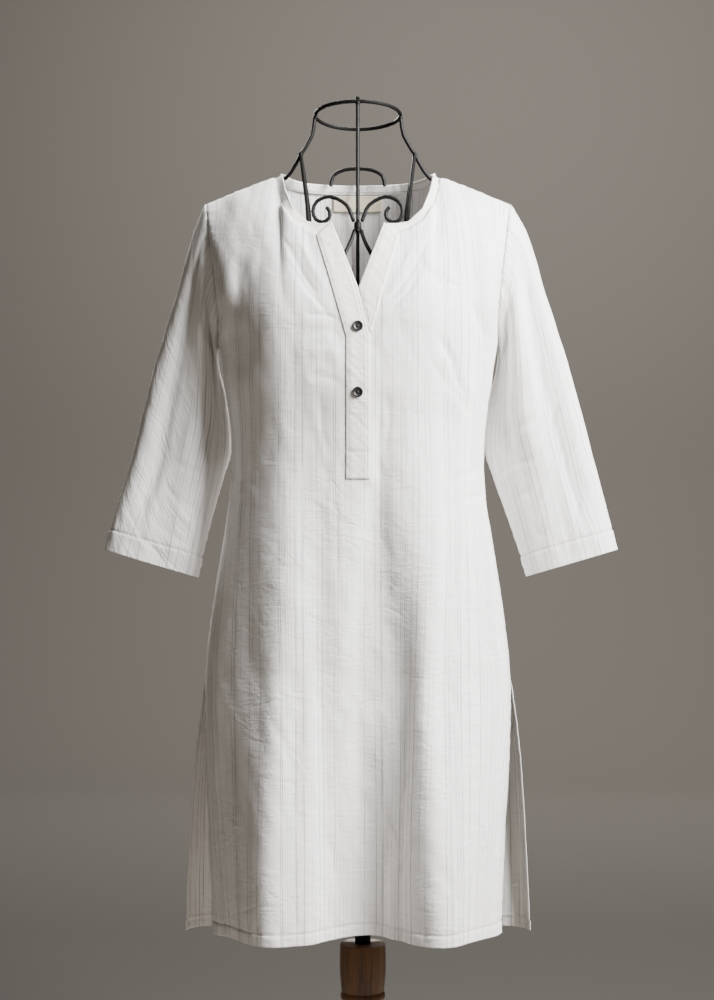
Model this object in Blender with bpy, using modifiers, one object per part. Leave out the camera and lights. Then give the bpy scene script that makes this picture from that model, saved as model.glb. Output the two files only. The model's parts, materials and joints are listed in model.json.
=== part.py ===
"""A kurta tunic that hangs on a wire dress form with a turned wooden stand.

Metres, +Z up. The front faces -Y, +X is the right side seen from the front, and the
origin is the middle of the stand's underside. Cloth is drawn as its inner face and
thickened outwards, so neighbouring pieces stay SEAM_GAP apart at their seams.
"""

import math

import bmesh
import bpy
from mathutils import Matrix, Vector

# --- driving sizes -------------------------------------------------------------------
CLOTH = 0.0014            # wall of a single layer
BAND_CLOTH = 0.0020       # wall of the folded neck band and plackets
SEAM_GAP = 0.0003         # parting between neighbouring pieces
FORM_X = -0.006           # the wire form sits a little off its pole

ARMPIT_Z = 1.157          # where the side seam meets the armhole
SLIT_Z = 0.766            # top of the side slits
SIDE_ROUND = 2.3          # power of the body's superellipse sections

NECK_X, NECK_Z = 0.092, 1.361        # side of the neck opening
TIP_X, TIP_Z = 0.183, 1.327          # shoulder tip
SHOULDER_Y = 0.004                   # the shoulder seam's depth
NECK_SEAM_X = 0.101                  # where the neck band ends on the shoulder line
NECK_FRONT_Y, NECK_BACK_Y = -0.050, 0.058

PLACKET_HALF = 0.0135     # half the width of the slot for the placket
PLACKET_FOOT_Z = 0.987    # its square lower end
PLACKET_OPEN_Z = 1.145    # where its edges start to part
PLACKET_TOP = (0.047, 1.264)         # outer corner, on the neck band's seam
V_FOOT_Z = 1.2005         # bottom of the open V
V_TOP = (0.030, 1.280)    # inner corner, on the neckline

BUTTON_Z = (1.157, 1.084)
BUTTON_RADIUS = 0.006
BUTTON_THICK = 0.0024

WIRE = 0.0023             # radius of every wire of the form
RING_Z, RING_RADIUS = 1.432, 0.051
POLE_RADIUS = 0.0095
POST_TOP_Z = 0.439
HIP_Z = 0.80              # the form's lowest ring
BASE_RADIUS, BASE_HEIGHT = 0.160, 0.028

# Body sections below the armpit: height, half width, depth, depth of the side edge.
FRONT_SECTIONS = (
    (0.465, 0.166, 0.060, -0.052),
    (0.520, 0.170, 0.069, -0.043),
    (0.600, 0.175, 0.080, -0.029),
    (0.700, 0.180, 0.091, -0.011),
    (0.766, 0.181, 0.096, 0.000),
    (0.865, 0.169, 0.098, 0.000),
    (0.973, 0.152, 0.102, 0.000),
    (1.043, 0.150, 0.108, 0.000),
    (1.100, 0.157, 0.117, 0.000),
    (1.157, 0.166, 0.118, 0.000),
)
BACK_SECTIONS = (
    (0.455, 0.2045, 0.054, -0.004),
    (0.520, 0.2020, 0.060, -0.003),
    (0.600, 0.1980, 0.068, -0.001),
    (0.690, 0.1910, 0.078, 0.001),
    (0.766, 0.1810, 0.086, 0.000),
    (0.865, 0.1690, 0.086, 0.000),
    (0.973, 0.1520, 0.084, 0.000),
    (1.043, 0.1500, 0.086, 0.000),
    (1.100, 0.1570, 0.093, 0.000),
    (1.157, 0.1660, 0.095, 0.000),
)
# Long folds: place across at the top and at the foot (parts of the half width), top and
# foot heights, half width across, and how far the fold stands out at its foot.
FRONT_FOLDS = (
    (-0.50, -0.60, 1.05, 0.455, 0.20, 0.026),
    (0.52, 0.60, 1.05, 0.455, 0.20, 0.026),
    (0.00, 0.04, 0.80, 0.455, 0.24, -0.040),
    (-0.86, -0.88, 0.90, 0.455, 0.08, -0.007),
    (0.28, 0.33, 0.95, 0.455, 0.07, -0.006),
    (-0.30, -0.34, 0.95, 0.455, 0.08, 0.005),
)
BACK_FOLDS = (
    (-0.42, -0.50, 1.00, 0.455, 0.18, 0.020),
    (0.46, 0.48, 1.02, 0.455, 0.20, 0.018),
    (0.02, 0.00, 0.85, 0.455, 0.20, -0.016),
    (-0.74, -0.80, 0.90, 0.455, 0.10, -0.008),
    (0.76, 0.82, 0.90, 0.455, 0.10, -0.006),
)
BUST = (0.50, 1.165, 0.30, 0.055, 0.008)   # across, height, spreads and rise of the dart

# Bezier handles of the armhole, from the armpit and from the shoulder tip.
FRONT_ARMHOLE = ((-0.009, -0.055, 0.028), (-0.007, -0.054, -0.037))
BACK_ARMHOLE = ((-0.006, 0.050, 0.033), (-0.005, 0.048, -0.037))

# The neck band's seam on the front panel, and the neckline itself: half width, height.
NECK_SEAM = ((0.047, 1.264), (0.061, 1.2708), (0.0776, 1.283), (0.092, 1.308), (0.0985, 1.334),
             (0.101, 1.3576))
NECKLINE = ((0.030, 1.280), (0.045, 1.2805), (0.058, 1.284), (0.076, 1.303), (0.086, 1.330),
            (0.092, 1.361))

# Sleeves: part of the length, outer edge x and z, inner edge x, y and z, half depth.
RIGHT_SLEEVE = (
    (0.00, 0.183, 1.327, 0.166, 0.000, 1.157, 0.046),
    (0.10, 0.203, 1.290, 0.171, 0.010, 1.137, 0.045),
    (0.25, 0.222, 1.226, 0.1625, 0.026, 1.100, 0.043),
    (0.50, 0.255, 1.120, 0.1555, 0.030, 1.036, 0.037),
    (0.70, 0.281, 1.024, 0.169, 0.022, 0.990, 0.032),
    (0.85, 0.296, 0.966, 0.188, 0.014, 0.933, 0.028),
    (1.00, 0.310, 0.911, 0.2046, 0.010, 0.8796, 0.026),
)
LEFT_SLEEVE = (
    (0.00, 0.183, 1.327, 0.166, 0.000, 1.157, 0.046),
    (0.10, 0.197, 1.290, 0.171, 0.010, 1.137, 0.045),
    (0.25, 0.214, 1.226, 0.1625, 0.026, 1.100, 0.043),
    (0.50, 0.245, 1.122, 0.1550, 0.030, 1.036, 0.037),
    (0.70, 0.270, 1.022, 0.167, 0.022, 0.990, 0.032),
    (0.85, 0.287, 0.966, 0.181, 0.014, 0.934, 0.028),
    (1.00, 0.303, 0.911, 0.1938, 0.010, 0.878, 0.026),
)
# Sleeve folds: angle at the top and at the foot (0 outer edge, 90 front, 180 inner edge),
# start and end along the sleeve, half width in degrees, and rise.
SLEEVE_FOLDS = (
    (60, 62, 0.05, 0.95, 16, -0.007),
    (95, 100, 0.02, 0.75, 15, 0.006),
    (128, 132, 0.02, 0.70, 15, -0.008),
    (250, 245, 0.05, 0.80, 18, -0.007),
    (300, 305, 0.05, 0.95, 16, 0.005),
)

# Grid lines of the panels: across from the slot's edge to the side, up to the armpit,
# and from the armpit to the top.
ACROSS = (0.0, 0.12, 0.24, 0.35, 0.425, 0.465, 0.55, 0.66, 0.77, 0.87, 0.945, 0.985, 1.0)
LOW_ROWS = (0.51, 0.56, 0.61, 0.66, 0.70, 0.735, SLIT_Z, 0.80, 0.85, 0.90, 0.945,
            PLACKET_FOOT_Z, 1.03, 1.07, 1.11, 1.135, ARMPIT_Z)
HIGH_ROWS = (0.13, 0.27, 0.41, 0.55, 0.69, 0.82, 0.93, 1.0)
KNEE = 5                  # the grid line that ends where the neck band crosses the shoulder
SLEEVE_ROWS = (0.0, 0.02, 0.06, 0.12, 0.19, 0.27, 0.36, 0.45, 0.54, 0.63, 0.72, 0.80, 0.88, 0.95,
               1.0)
SLEEVE_AROUND = 24

FRONT, BACK = -1, 1


# --- small helpers -------------------------------------------------------------------
def clear_scene():
    for item in list(bpy.data.objects):
        bpy.data.objects.remove(item, do_unlink=True)


def read(table, key):
    """Values of a table at one key, on a smooth curve through its rows."""
    if key <= table[0][0]:
        return table[0][1:]
    if key >= table[-1][0]:
        return table[-1][1:]
    low = max(i for i in range(len(table) - 1) if table[i][0] <= key)
    rows = [table[max(low - 1, 0)], table[low], table[low + 1], table[min(low + 2, len(table) - 1)]]
    span = rows[2][0] - rows[1][0]
    t = (key - rows[1][0]) / span
    values = []
    for column in range(1, len(table[0])):
        before, start, end, after = (row[column] for row in rows)
        lean_in = (end - before) / (rows[2][0] - rows[0][0]) * span
        lean_out = (after - start) / (rows[3][0] - rows[1][0]) * span
        values.append((2 * t**3 - 3 * t**2 + 1) * start + (t**3 - 2 * t**2 + t) * lean_in
                      + (3 * t**2 - 2 * t**3) * end + (t**3 - t**2) * lean_out)
    return values


def smooth(t):
    t = min(max(t, 0.0), 1.0)
    return t * t * (3 - 2 * t)


def mix(a, b, t):
    return a + (b - a) * t


def bezier(a, b, c, d, t):
    u = 1 - t
    return a * u**3 + b * 3 * t * u**2 + c * 3 * t**2 * u + d * t**3


def find_root(function, low, high):
    """Where a rising function crosses nought."""
    for _ in range(40):
        middle = (low + high) / 2
        if function(middle) < 0:
            low = middle
        else:
            high = middle
    return (low + high) / 2


# --- the body's cloth surface --------------------------------------------------------
def folds(table, across, z):
    rise = 0.0
    for top_across, foot_across, top_z, foot_z, half_width, height in table:
        down = (top_z - z) / (top_z - foot_z)
        middle = mix(top_across, foot_across, min(max(down, 0), 1))
        rise += height * smooth(down) * math.exp(-((across - middle) / half_width) ** 2)
    return rise


def shoulder_z(x):
    return NECK_Z + (TIP_Z - NECK_Z) * (abs(x) - NECK_X) / (TIP_X - NECK_X)


def low_point(side, across, z):
    """The body below the armpit. across runs from -1 to 1 over the panel's width."""
    half, depth, edge = read(FRONT_SECTIONS if side == FRONT else BACK_SECTIONS, z)
    edge = edge if z < SLIT_Z else 0.0
    round_part = max(1 - abs(across) ** SIDE_ROUND, 0) ** (1 / SIDE_ROUND)
    out = depth * round_part + folds(FRONT_FOLDS if side == FRONT else BACK_FOLDS, across, z)
    if side == FRONT:
        out += bust(across, z)
    return Vector((half * across, edge + side * (out + SEAM_GAP / 2), z))


def bust(across, z):
    place, height, spread, spread_z, rise = BUST
    return rise * math.exp(-((abs(across) - place) / spread) ** 2 - ((z - height) / spread_z) ** 2)


def top_point(side, across):
    """The shoulder line, and the curve round the neck that closes the surface."""
    x = across * TIP_X
    if abs(x) >= NECK_X:
        return Vector((x, SHOULDER_Y + side * SEAM_GAP / 2, shoulder_z(x)))
    turn = math.asin(x / NECK_X)
    neck_y = NECK_FRONT_Y if side == FRONT else NECK_BACK_Y
    y = SHOULDER_Y + side * SEAM_GAP / 2 + (neck_y - SHOULDER_Y) * math.cos(turn)
    return Vector((x, y, NECK_Z + 0.005 * math.cos(turn) * (side == BACK)))


def high_point(side, across, up):
    """The body above the armpit. up runs from 0 at the armpit to 1 at the top."""
    chest = low_point(side, across, ARMPIT_Z)
    top = top_point(side, across)
    edge = smooth((abs(across) - 0.72) / 0.28)
    neck = 1 - smooth((abs(across) * TIP_X - 0.05) / (NECK_X - 0.03))
    handles = FRONT_ARMHOLE if side == FRONT else BACK_ARMHOLE
    mirror = Vector((math.copysign(1, across), 1, 1))
    middle_low = Vector((0, side * 0.004, 0.080))
    over = Vector((0, -side * mix(0.97, 0.50, neck), mix(0.24, 0.85, neck)))
    middle_high = -over.normalized() * 0.064
    first = chest + middle_low.lerp(mirror * Vector(handles[0]), edge)
    second = top + middle_high.lerp(mirror * Vector(handles[1]), edge)
    point = bezier(chest, first, second, top, up)
    if side == FRONT:
        fade = (1 - up) ** 2
        point.y -= (bust(across, point.z) - bust(across, ARMPIT_Z) * fade) * (1 - up)
    return point


def curve_height(curve, x):
    """Height of a neck curve at a half width, straight between its points."""
    x = abs(x)
    for (x0, z0), (x1, z1) in zip(curve, curve[1:]):
        if x <= x1:
            return mix(z0, z1, (x - x0) / (x1 - x0))
    return curve[-1][1]


def slot_half(z):
    """Half width of the placket's slot, which opens into the V."""
    return mix(PLACKET_HALF, PLACKET_TOP[0], max(z - PLACKET_OPEN_Z, 0) / (PLACKET_TOP[1] - PLACKET_OPEN_Z))


def front_at(x, z):
    """The front's inner face at a place seen from the front."""
    if z <= ARMPIT_Z:
        half = read(FRONT_SECTIONS, z)[0]
        return low_point(FRONT, x / half, z)
    across = x / TIP_X
    for _ in range(6):
        up = find_root(lambda t: high_point(FRONT, across, t).z - z, 0, 1)
        point = high_point(FRONT, across, up)
        if abs(x) > 1e-6:
            across *= x / point.x
    return point


def under(side, across, z, depth):
    """A place inside the cloth, the given depth in from its inner face."""
    if z <= ARMPIT_Z:
        def place(a, b):
            return low_point(side, a, b)
        at = z
    else:
        def place(a, b):
            return high_point(side, a, b)
        at = find_root(lambda t: high_point(side, across, t).z - z, 0, 1)
    step = 0.002
    along = place(across + step, at) - place(across - step, at)
    rise = place(across, min(at + step, ARMPIT_Z if z <= ARMPIT_Z else 1)) - place(across, at - step)
    normal = along.cross(rise).normalized() * -side
    return place(across, at) - normal * depth


# --- making objects ------------------------------------------------------------------
def material(name, colour, roughness, metallic=0.0):
    made = bpy.data.materials.new(name)
    made.use_nodes = True
    shader = made.node_tree.nodes["Principled BSDF"]
    shader.inputs["Base Color"].default_value = (*colour, 1)
    shader.inputs["Roughness"].default_value = roughness
    shader.inputs["Metallic"].default_value = metallic
    return made


def add(name, data, finish):
    """A new object in the part's collection, with its own finish."""
    made = bpy.data.objects.new(name, data)
    parts.objects.link(made)
    data.materials.append(finish)
    return made


def grid(name, columns, rows, place, finish, wall, keep=None, closed=False, outward=1):
    """A sheet of columns by rows points, bent by place(i, j) and thickened outwards."""
    mesh = bmesh.new()
    bmesh.ops.create_grid(mesh, x_segments=columns - 1, y_segments=rows - 1, size=0.5)
    if keep:
        gone = []
        for face in mesh.faces:
            middle = face.calc_center_median()
            if not keep((middle.x + 0.5) * (columns - 1), (middle.y + 0.5) * (rows - 1)):
                gone.append(face)
        bmesh.ops.delete(mesh, geom=gone, context="FACES")
    for vert in mesh.verts:
        i = round((vert.co.x + 0.5) * (columns - 1))
        j = round((vert.co.y + 0.5) * (rows - 1))
        vert.co = place(i, j)
    if closed:
        bmesh.ops.remove_doubles(mesh, verts=mesh.verts, dist=1e-5)
    data = bpy.data.meshes.new(name)
    mesh.to_mesh(data)
    mesh.free()
    data.shade_smooth()
    made = add(name, data, finish)
    made.location.x = FORM_X
    thick = made.modifiers.new("wall", "SOLIDIFY")
    thick.thickness = wall
    thick.offset = outward
    thick.use_even_offset = False
    return made


def smooth_route(points, step=0.012):
    """Points of a soft curve through a route's own points."""
    points = [Vector(point) for point in points]
    line = []
    for i in range(len(points) - 1):
        before, after = points[max(i - 1, 0)], points[min(i + 2, len(points) - 1)]
        a, d = points[i], points[i + 1]
        lean = (d - before) / (2 if i else 1)
        leave = (after - a) / (2 if i + 2 < len(points) else 1)
        count = max(2, round((d - a).length / step))
        for k in range(count):
            line.append(bezier(a, a + lean / 3, d - leave / 3, d, k / count))
    return line + [points[-1]]


def tube(name, line, finish, radius=WIRE, ring=False):
    """A round wire along a line of points."""
    curve = bpy.data.curves.new(name, "CURVE")
    curve.dimensions = "3D"
    curve.bevel_depth = radius
    curve.bevel_resolution = 2
    curve.use_fill_caps = not ring
    spline = curve.splines.new("POLY")
    spline.points.add(len(line) - 1)
    for point, place in zip(spline.points, line):
        point.co = (*place, 1)
    spline.use_cyclic_u = ring
    made = add(name, curve, finish)
    made.location.x = FORM_X
    return made


def turned(name, profile, finish, steps=32, place=Matrix.Identity(4)):
    """A solid of revolution about Z. The profile runs from the top to the bottom."""
    mesh = bmesh.new()
    verts = [mesh.verts.new((radius, 0, z)) for radius, z in profile]
    for a, b in zip(verts, verts[1:]):
        mesh.edges.new((a, b))
    data = bpy.data.meshes.new(name)
    mesh.to_mesh(data)
    mesh.free()
    made = add(name, data, finish)
    made.matrix_world = place
    screw = made.modifiers.new("turn", "SCREW")
    screw.steps = screw.render_steps = steps
    screw.use_merge_vertices = True
    screw.merge_threshold = 0.00005
    return made


# --- cloth ---------------------------------------------------------------------------
def slot_across(up):
    """Part of the width at which the slot's edge lies, at one height of the yoke."""
    def beyond(across):
        point = high_point(FRONT, across, up)
        return point.x - slot_half(point.z)
    return find_root(beyond, 0.02, 0.6)


def spread(part, start):
    """A grid line's place along the top, so that one line ends at the neck band."""
    knee, seam = ACROSS[KNEE], NECK_SEAM_X / TIP_X
    if part <= knee:
        return mix(start, seam, part / knee)
    return mix(seam, 1, (part - knee) / (1 - knee))


SLOT_UP = find_root(lambda up: high_point(FRONT, slot_across(up), up).z - PLACKET_TOP[1], 0.02, 0.98)


def front_top(part):
    """Where a grid line of the front ends: its place across and its height."""
    across = spread(part, slot_across(SLOT_UP))
    return across, front_end(across)


def front_end(across):
    """How far up the front reaches, to the neck band's seam or to the shoulder."""
    if across * TIP_X > NECK_SEAM_X - 1e-5:
        return 1.0

    def above(up):
        point = high_point(FRONT, across, up)
        return point.z - curve_height(NECK_SEAM, point.x)
    return find_root(above, 0.2, 1)


def back_end(across):
    """How far up the back reaches, short of the neckline by the band's width."""
    x = abs(across) * TIP_X
    return 1 - 0.068 * smooth((NECK_SEAM_X - x) / 0.018)


def make_front(finish):
    side_count = len(ACROSS)
    slot_row = 1 + LOW_ROWS.index(PLACKET_FOOT_Z)
    slot_line = [slot_across(up * SLOT_UP) for up in HIGH_ROWS]
    tops = [front_top(part) for part in ACROSS]

    def place(i, j):
        index = i - side_count
        sign = -1 if index < 0 else 1
        part = ACROSS[abs(index) - 1]
        if j <= len(LOW_ROWS):
            z = FRONT_SECTIONS[0][0] if j == 0 else LOW_ROWS[j - 1]
            slot = slot_half(z) / read(FRONT_SECTIONS, z)[0]
            return low_point(FRONT, sign * mix(slot, 1, part) if index else 0, z)
        step = j - len(LOW_ROWS) - 1
        up = HIGH_ROWS[step]
        if not index:
            return high_point(FRONT, 0, up * SLOT_UP)
        end_across, end_up = tops[abs(index) - 1]
        end_part = (end_across - slot_line[-1]) / (1 - slot_line[-1])
        across = mix(slot_line[step], 1, mix(part, end_part, up))
        return high_point(FRONT, sign * across, up * end_up)

    def keep(i, j):
        return j < slot_row or abs(i - side_count) > 1

    grid("front_panel", 2 * side_count + 1, 1 + len(LOW_ROWS) + len(HIGH_ROWS), place, finish, CLOTH, keep)


def make_back(finish):
    side_count = len(ACROSS) - 1

    def place(i, j):
        index = i - side_count
        across = math.copysign(spread(ACROSS[abs(index)], 0), index)
        if j <= len(LOW_ROWS):
            z = BACK_SECTIONS[0][0] if j == 0 else LOW_ROWS[j - 1]
            return low_point(BACK, across, z)
        return high_point(BACK, across, HIGH_ROWS[j - len(LOW_ROWS) - 1] * back_end(across))

    grid("back_panel", 2 * side_count + 1, 1 + len(LOW_ROWS) + len(HIGH_ROWS), place, finish, CLOTH,
         outward=-1)


def strip(name, first, second, rows, columns, finish, wall):
    """A band on the front between two curves of (half width, height) seen from the front."""
    def place(i, j):
        a, b = first(j / (rows - 1)), second(j / (rows - 1))
        part = i / (columns - 1)
        return front_at(mix(a[0], b[0], part), mix(a[1], b[1], part))
    return grid(name, columns, rows, place, finish, wall)


def along(points):
    """A function that walks a line of points at an even pace, from 0 to 1."""
    lengths = [math.dist(a, b) for a, b in zip(points, points[1:])]
    whole = sum(lengths)

    def at(part):
        left = part * whole
        for a, b, length in zip(points, points[1:], lengths):
            if left <= length + 1e-9:
                return [mix(p, q, left / length) for p, q in zip(a, b)]
            left -= length
        return list(points[-1])
    return at


def make_plackets(finish):
    half = PLACKET_HALF - SEAM_GAP
    top_x, top_z = SEAM_GAP - PLACKET_TOP[0], PLACKET_TOP[1] - SEAM_GAP
    rows, split = 17, 9       # grid rows in all, and those up to where the edges part

    def left_edge(part):
        j = round(part * (rows - 1))
        if j <= split:
            return (-half, mix(PLACKET_FOOT_Z + SEAM_GAP, PLACKET_OPEN_Z, j / split))
        step = (j - split) / (rows - 1 - split)
        return mix(-half, top_x, step), mix(PLACKET_OPEN_Z, top_z, step)

    bend = split + 3

    def right_edge(part):
        j = round(part * (rows - 1))
        if j <= split:
            return (half, left_edge(part)[1])
        if j <= bend:
            step = (j - split) / (bend - split)
            return mix(half, 0, step), mix(PLACKET_OPEN_Z, V_FOOT_Z, step)
        step = (j - bend) / (rows - 1 - bend)
        return mix(0, SEAM_GAP - V_TOP[0], step), mix(V_FOOT_Z, V_TOP[1] - SEAM_GAP, step)

    strip("placket_top", left_edge, right_edge, rows, 5, finish, BAND_CLOTH)

    start_z = PLACKET_OPEN_Z + 0.006
    parting = 2 * SEAM_GAP
    first_x = mix(half, 0, (start_z - PLACKET_OPEN_Z) / (V_FOOT_Z - PLACKET_OPEN_Z)) + parting
    inner = along(((first_x, start_z), (parting, V_FOOT_Z),
                   (V_TOP[0] - SEAM_GAP, V_TOP[1] - SEAM_GAP)))
    right = along(((slot_half(start_z) - SEAM_GAP, start_z), (-top_x, top_z)))
    strip("placket_under", inner, right, 12, 4, finish, BAND_CLOTH)


def make_band(finish):
    """The neck band: from one placket round the back to the other."""
    edge = along(NECKLINE)
    half = []
    for part in ACROSS[:KNEE + 1]:
        outer = high_point(FRONT, *front_top(part))
        inner = edge(part / ACROSS[KNEE])
        half.append((outer, front_at(inner[0], min(inner[1], NECK_Z - 0.0005))))
    half[-1][1].y = SHOULDER_Y
    stand = 0.0115
    for part in ACROSS[KNEE - 1:0:-1] + (0.0,):
        across = spread(part, 0)
        end = back_end(across)
        outer = high_point(BACK, across, end)
        rise = (outer - high_point(BACK, across, end - 0.05)).normalized() * stand
        turn = across * TIP_X / NECK_SEAM_X
        side = Vector((NECK_X * turn, SHOULDER_Y + 0.002, NECK_Z + 0.001))
        half.append((outer, (outer + rise).lerp(side, turn ** 6)))
    ring = half + [(mirrored(a), mirrored(b)) for a, b in half[-2::-1]]

    def place(i, j):
        outer, inner = ring[i]
        point = outer.lerp(inner, j / 3) + (inner - outer).normalized() * 2 * SEAM_GAP * (j == 0)
        if i in (0, len(ring) - 1):
            point += Vector((math.copysign(SEAM_GAP, point.x), 0, SEAM_GAP)) * 0.6
        return point

    grid("neck_band", len(ring), 4, place, finish, BAND_CLOTH, outward=-1)


def mirrored(point):
    return Vector((-point.x, point.y, point.z))


def sleeve_point(table, sign, angle, part):
    outer_x, outer_z, inner_x, inner_y, inner_z, deep = read(table, part)
    outer = Vector((sign * outer_x, SHOULDER_Y * (1 - part), outer_z))
    inner = Vector((sign * inner_x, inner_y, inner_z))
    middle, reach = (outer + inner) / 2, (outer - inner) / 2
    bend = math.radians(angle)
    fold = 0.0
    for top, foot, start, end, half_width, rise in SLEEVE_FOLDS:
        place = mix(top, foot, part)
        away = (angle - place + 180) % 360 - 180
        window = smooth((part - start) / 0.15) * smooth((end - part) / 0.2)
        fold += rise * window * math.exp(-(away / half_width) ** 2)
    scale = 1 + fold / deep
    return middle + (reach * math.cos(bend) - Vector((0, deep, 0)) * math.sin(bend)) * scale


def armhole_point(sign, angle):
    """A point of the armhole: the tip is 0, the front 90 and the armpit 180 degrees."""
    side = FRONT if angle <= 180 else BACK
    up = abs(180 - angle) / 180
    return high_point(side, sign, up)


def make_sleeve(name, table, sign, finish):
    def place(i, j):
        angle = 360 * (i % SLEEVE_AROUND) / SLEEVE_AROUND
        part = SLEEVE_ROWS[j]
        root = armhole_point(sign, angle)
        low = 1 - abs(angle - 180) / 180
        lift = sign * (0.0006 + 0.0032 * smooth((low - 0.02) / 0.60))
        root = root + Vector((lift, 0, 0.0))
        fade = max(1 - part / 0.34, 0) ** 2
        point = sleeve_point(table, sign, angle, part)
        start = sleeve_point(table, sign, angle, 0)
        return point + (root - start) * fade

    return grid(name, SLEEVE_AROUND + 1, len(SLEEVE_ROWS), place, finish, CLOTH, closed=True,
                outward=sign)


def make_buttons(finish):
    for name, z in zip(("button_upper", "button_lower"), BUTTON_Z):
        seat = front_at(0, z)
        normal = (front_at(0.002, z) - front_at(-0.002, z)).cross(
            front_at(0, z + 0.004) - front_at(0, z - 0.004)).normalized()
        foot = seat + normal * (BAND_CLOTH + SEAM_GAP) + Vector((FORM_X, 0, 0))
        turn = normal.to_track_quat("Z", "Y").to_matrix().to_4x4()
        rim = BUTTON_RADIUS
        profile = ((0, BUTTON_THICK - 0.0007), (rim * 0.55, BUTTON_THICK - 0.0006),
                   (rim * 0.70, BUTTON_THICK), (rim * 0.88, BUTTON_THICK),
                   (rim, BUTTON_THICK * 0.6), (rim * 0.94, 0.0003), (rim * 0.85, 0), (0, 0))
        turned(name, profile, finish, 24, Matrix.Translation(foot) @ turn)


def make_label(finish):
    """A woven label that hangs inside the back, under the neck band."""
    half, drop = 0.0305, 0.020

    def place(i, j):
        x = mix(-half, half, i / 6)
        across = x / TIP_X
        top = back_end(across)
        length = (high_point(BACK, across, top) - high_point(BACK, across, top - 0.2)).length / 0.2
        at = top - 0.004 - drop / length * (1 - j / 4)
        point = high_point(BACK, across, at)
        return point - Vector((0, 0.8, 0.6)) * 0.0012

    return grid("neck_label", 7, 5, place, finish, 0.0008, outward=1)


# --- the wire form -------------------------------------------------------------------
def make_form(metal, wood):
    ring = [Vector((RING_RADIUS * math.sin(math.tau * k / 40), -RING_RADIUS * math.cos(math.tau * k / 40),
                    RING_Z)) for k in range(40)]
    tube("neck_ring", ring, metal, ring=True)
    clear = 2 * WIRE + SEAM_GAP
    knob = ((0, 0.0034), (0.0014, 0.0031), (0.0023, 0.0021), (0.0024, 0.0011), (0.0018, 0), (0, 0))
    turned("ring_knob", knob, metal, 16,
           Matrix.Translation((FORM_X, -RING_RADIUS, RING_Z + WIRE + SEAM_GAP / 2)))

    clamp_y, clamp_z = -0.077, 1.280
    tube("wire_front", smooth_route(((0, -RING_RADIUS, RING_Z - WIRE - SEAM_GAP), (0, -0.053, 1.395),
                                     (0, -0.064, 1.335), (0, clamp_y, clamp_z + 0.006))), metal)
    clamp = ((0, 0.0044), (0.0036, 0.0044), (0.0044, 0.0030), (0.0044, -0.0030), (0.0036, -0.0044),
             (0, -0.0044))
    turned("clamp", clamp, metal, 16, Matrix.Translation((FORM_X, clamp_y, clamp_z)))

    foot_z = HIP_Z + WIRE + 2 * SEAM_GAP     # the long wires end just over the hip ring

    def inside(side, across, z, more=0.0):
        """A wire's middle, held off the cloth's inner face."""
        return under(side, across, z, WIRE + 0.0022 + more)

    tube("wire_back", smooth_route(((0, RING_RADIUS, RING_Z - WIRE - SEAM_GAP), (0, 0.0515, 1.39),
                                    (0, 0.0505, 1.35), inside(BACK, 0, 1.30), inside(BACK, 0, 1.22),
                                    inside(BACK, 0, 1.13), inside(BACK, 0, 1.04),
                                    inside(BACK, 0, 0.92, 0.003),
                                    inside(BACK, 0, foot_z, 0.0050)), 0.022), metal)
    arch_y = 0.0498 - clear
    arch = smooth_route(((-0.0332, arch_y, 1.3600), (-0.0300, arch_y, 1.3730), (-0.0170, arch_y, 1.3800),
                         (0, arch_y, 1.3815), (0.0170, arch_y, 1.3800), (0.0300, arch_y, 1.3730),
                         (0.0332, arch_y, 1.3600)), 0.010)
    tube("arch_back", arch, metal)

    for word, sign in (("left", -1), ("right", 1)):
        fork = Vector((sign * 0.0684, 0.0, 1.3850))
        shoulder = [(sign * (RING_RADIUS + 0.0005), 0, RING_Z - clear + WIRE),
                    (sign * 0.0550, 0, 1.408), fork, (sign * 0.0795, 0.001, 1.3655)]
        for x in (0.092, 0.110, 0.135, 0.160):
            shoulder.append((sign * x, SHOULDER_Y, shoulder_z(x) - WIRE - 0.0011 - 0.0035 * (x < 0.1)))
        tube("wire_shoulder_" + word, smooth_route(shoulder), metal)
        lean = 0.0050
        chest = [fork + Vector((-sign * 0.10, -0.78, -0.62)) * lean, (sign * 0.0625, -0.028, 1.338),
                 (sign * 0.0580, -0.052, 1.291), (sign * 0.0610, -0.078, 1.235),
                 inside(FRONT, sign * 0.45, 1.165, 0.004), inside(FRONT, sign * 0.42, 1.10, 0.004),
                 inside(FRONT, sign * 0.38, 1.03, 0.002), inside(FRONT, sign * 0.40, 0.93, 0.003),
                 inside(FRONT, sign * 0.46, foot_z, 0.0050)]
        tube("wire_chest_" + word, smooth_route(chest, 0.022), metal)
        spine = [fork + Vector((-sign * 0.10, 0.78, -0.62)) * lean, (sign * 0.0620, 0.024, 1.345),
                 (sign * 0.0580, 0.050, 1.305), inside(BACK, sign * 0.34, 1.22),
                 inside(BACK, sign * 0.40, 1.13), inside(BACK, sign * 0.36, 1.04),
                 inside(BACK, sign * 0.40, 0.92, 0.003), inside(BACK, sign * 0.46, foot_z, 0.0050)]
        tube("wire_spine_" + word, smooth_route(spine, 0.022), metal)
        scroll = [(sign * x, clamp_y, z) for x, z in (
            (0.0052, 1.2868), (0.0130, 1.3040), (0.0315, 1.3135), (0.0470, 1.3080), (0.0515, 1.2970),
            (0.0480, 1.2875), (0.0400, 1.2845), (0.0330, 1.2890), (0.0325, 1.2965), (0.0360, 1.3015))]
        tube("scroll_" + word, smooth_route(scroll, 0.0065), metal)
        branch = [(sign * 0.0036, clamp_y - 0.0010, clamp_z - 0.0052), (sign * 0.0075, -0.0830, 1.2620),
                  (sign * 0.0145, -0.0900, 1.2460), (sign * 0.0280, -0.0975, 1.2190)]
        end = inside(FRONT, sign * 0.36, 1.172, 0.005)
        tube("wire_fork_" + word, smooth_route(branch + [end], 0.010), metal)

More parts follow.
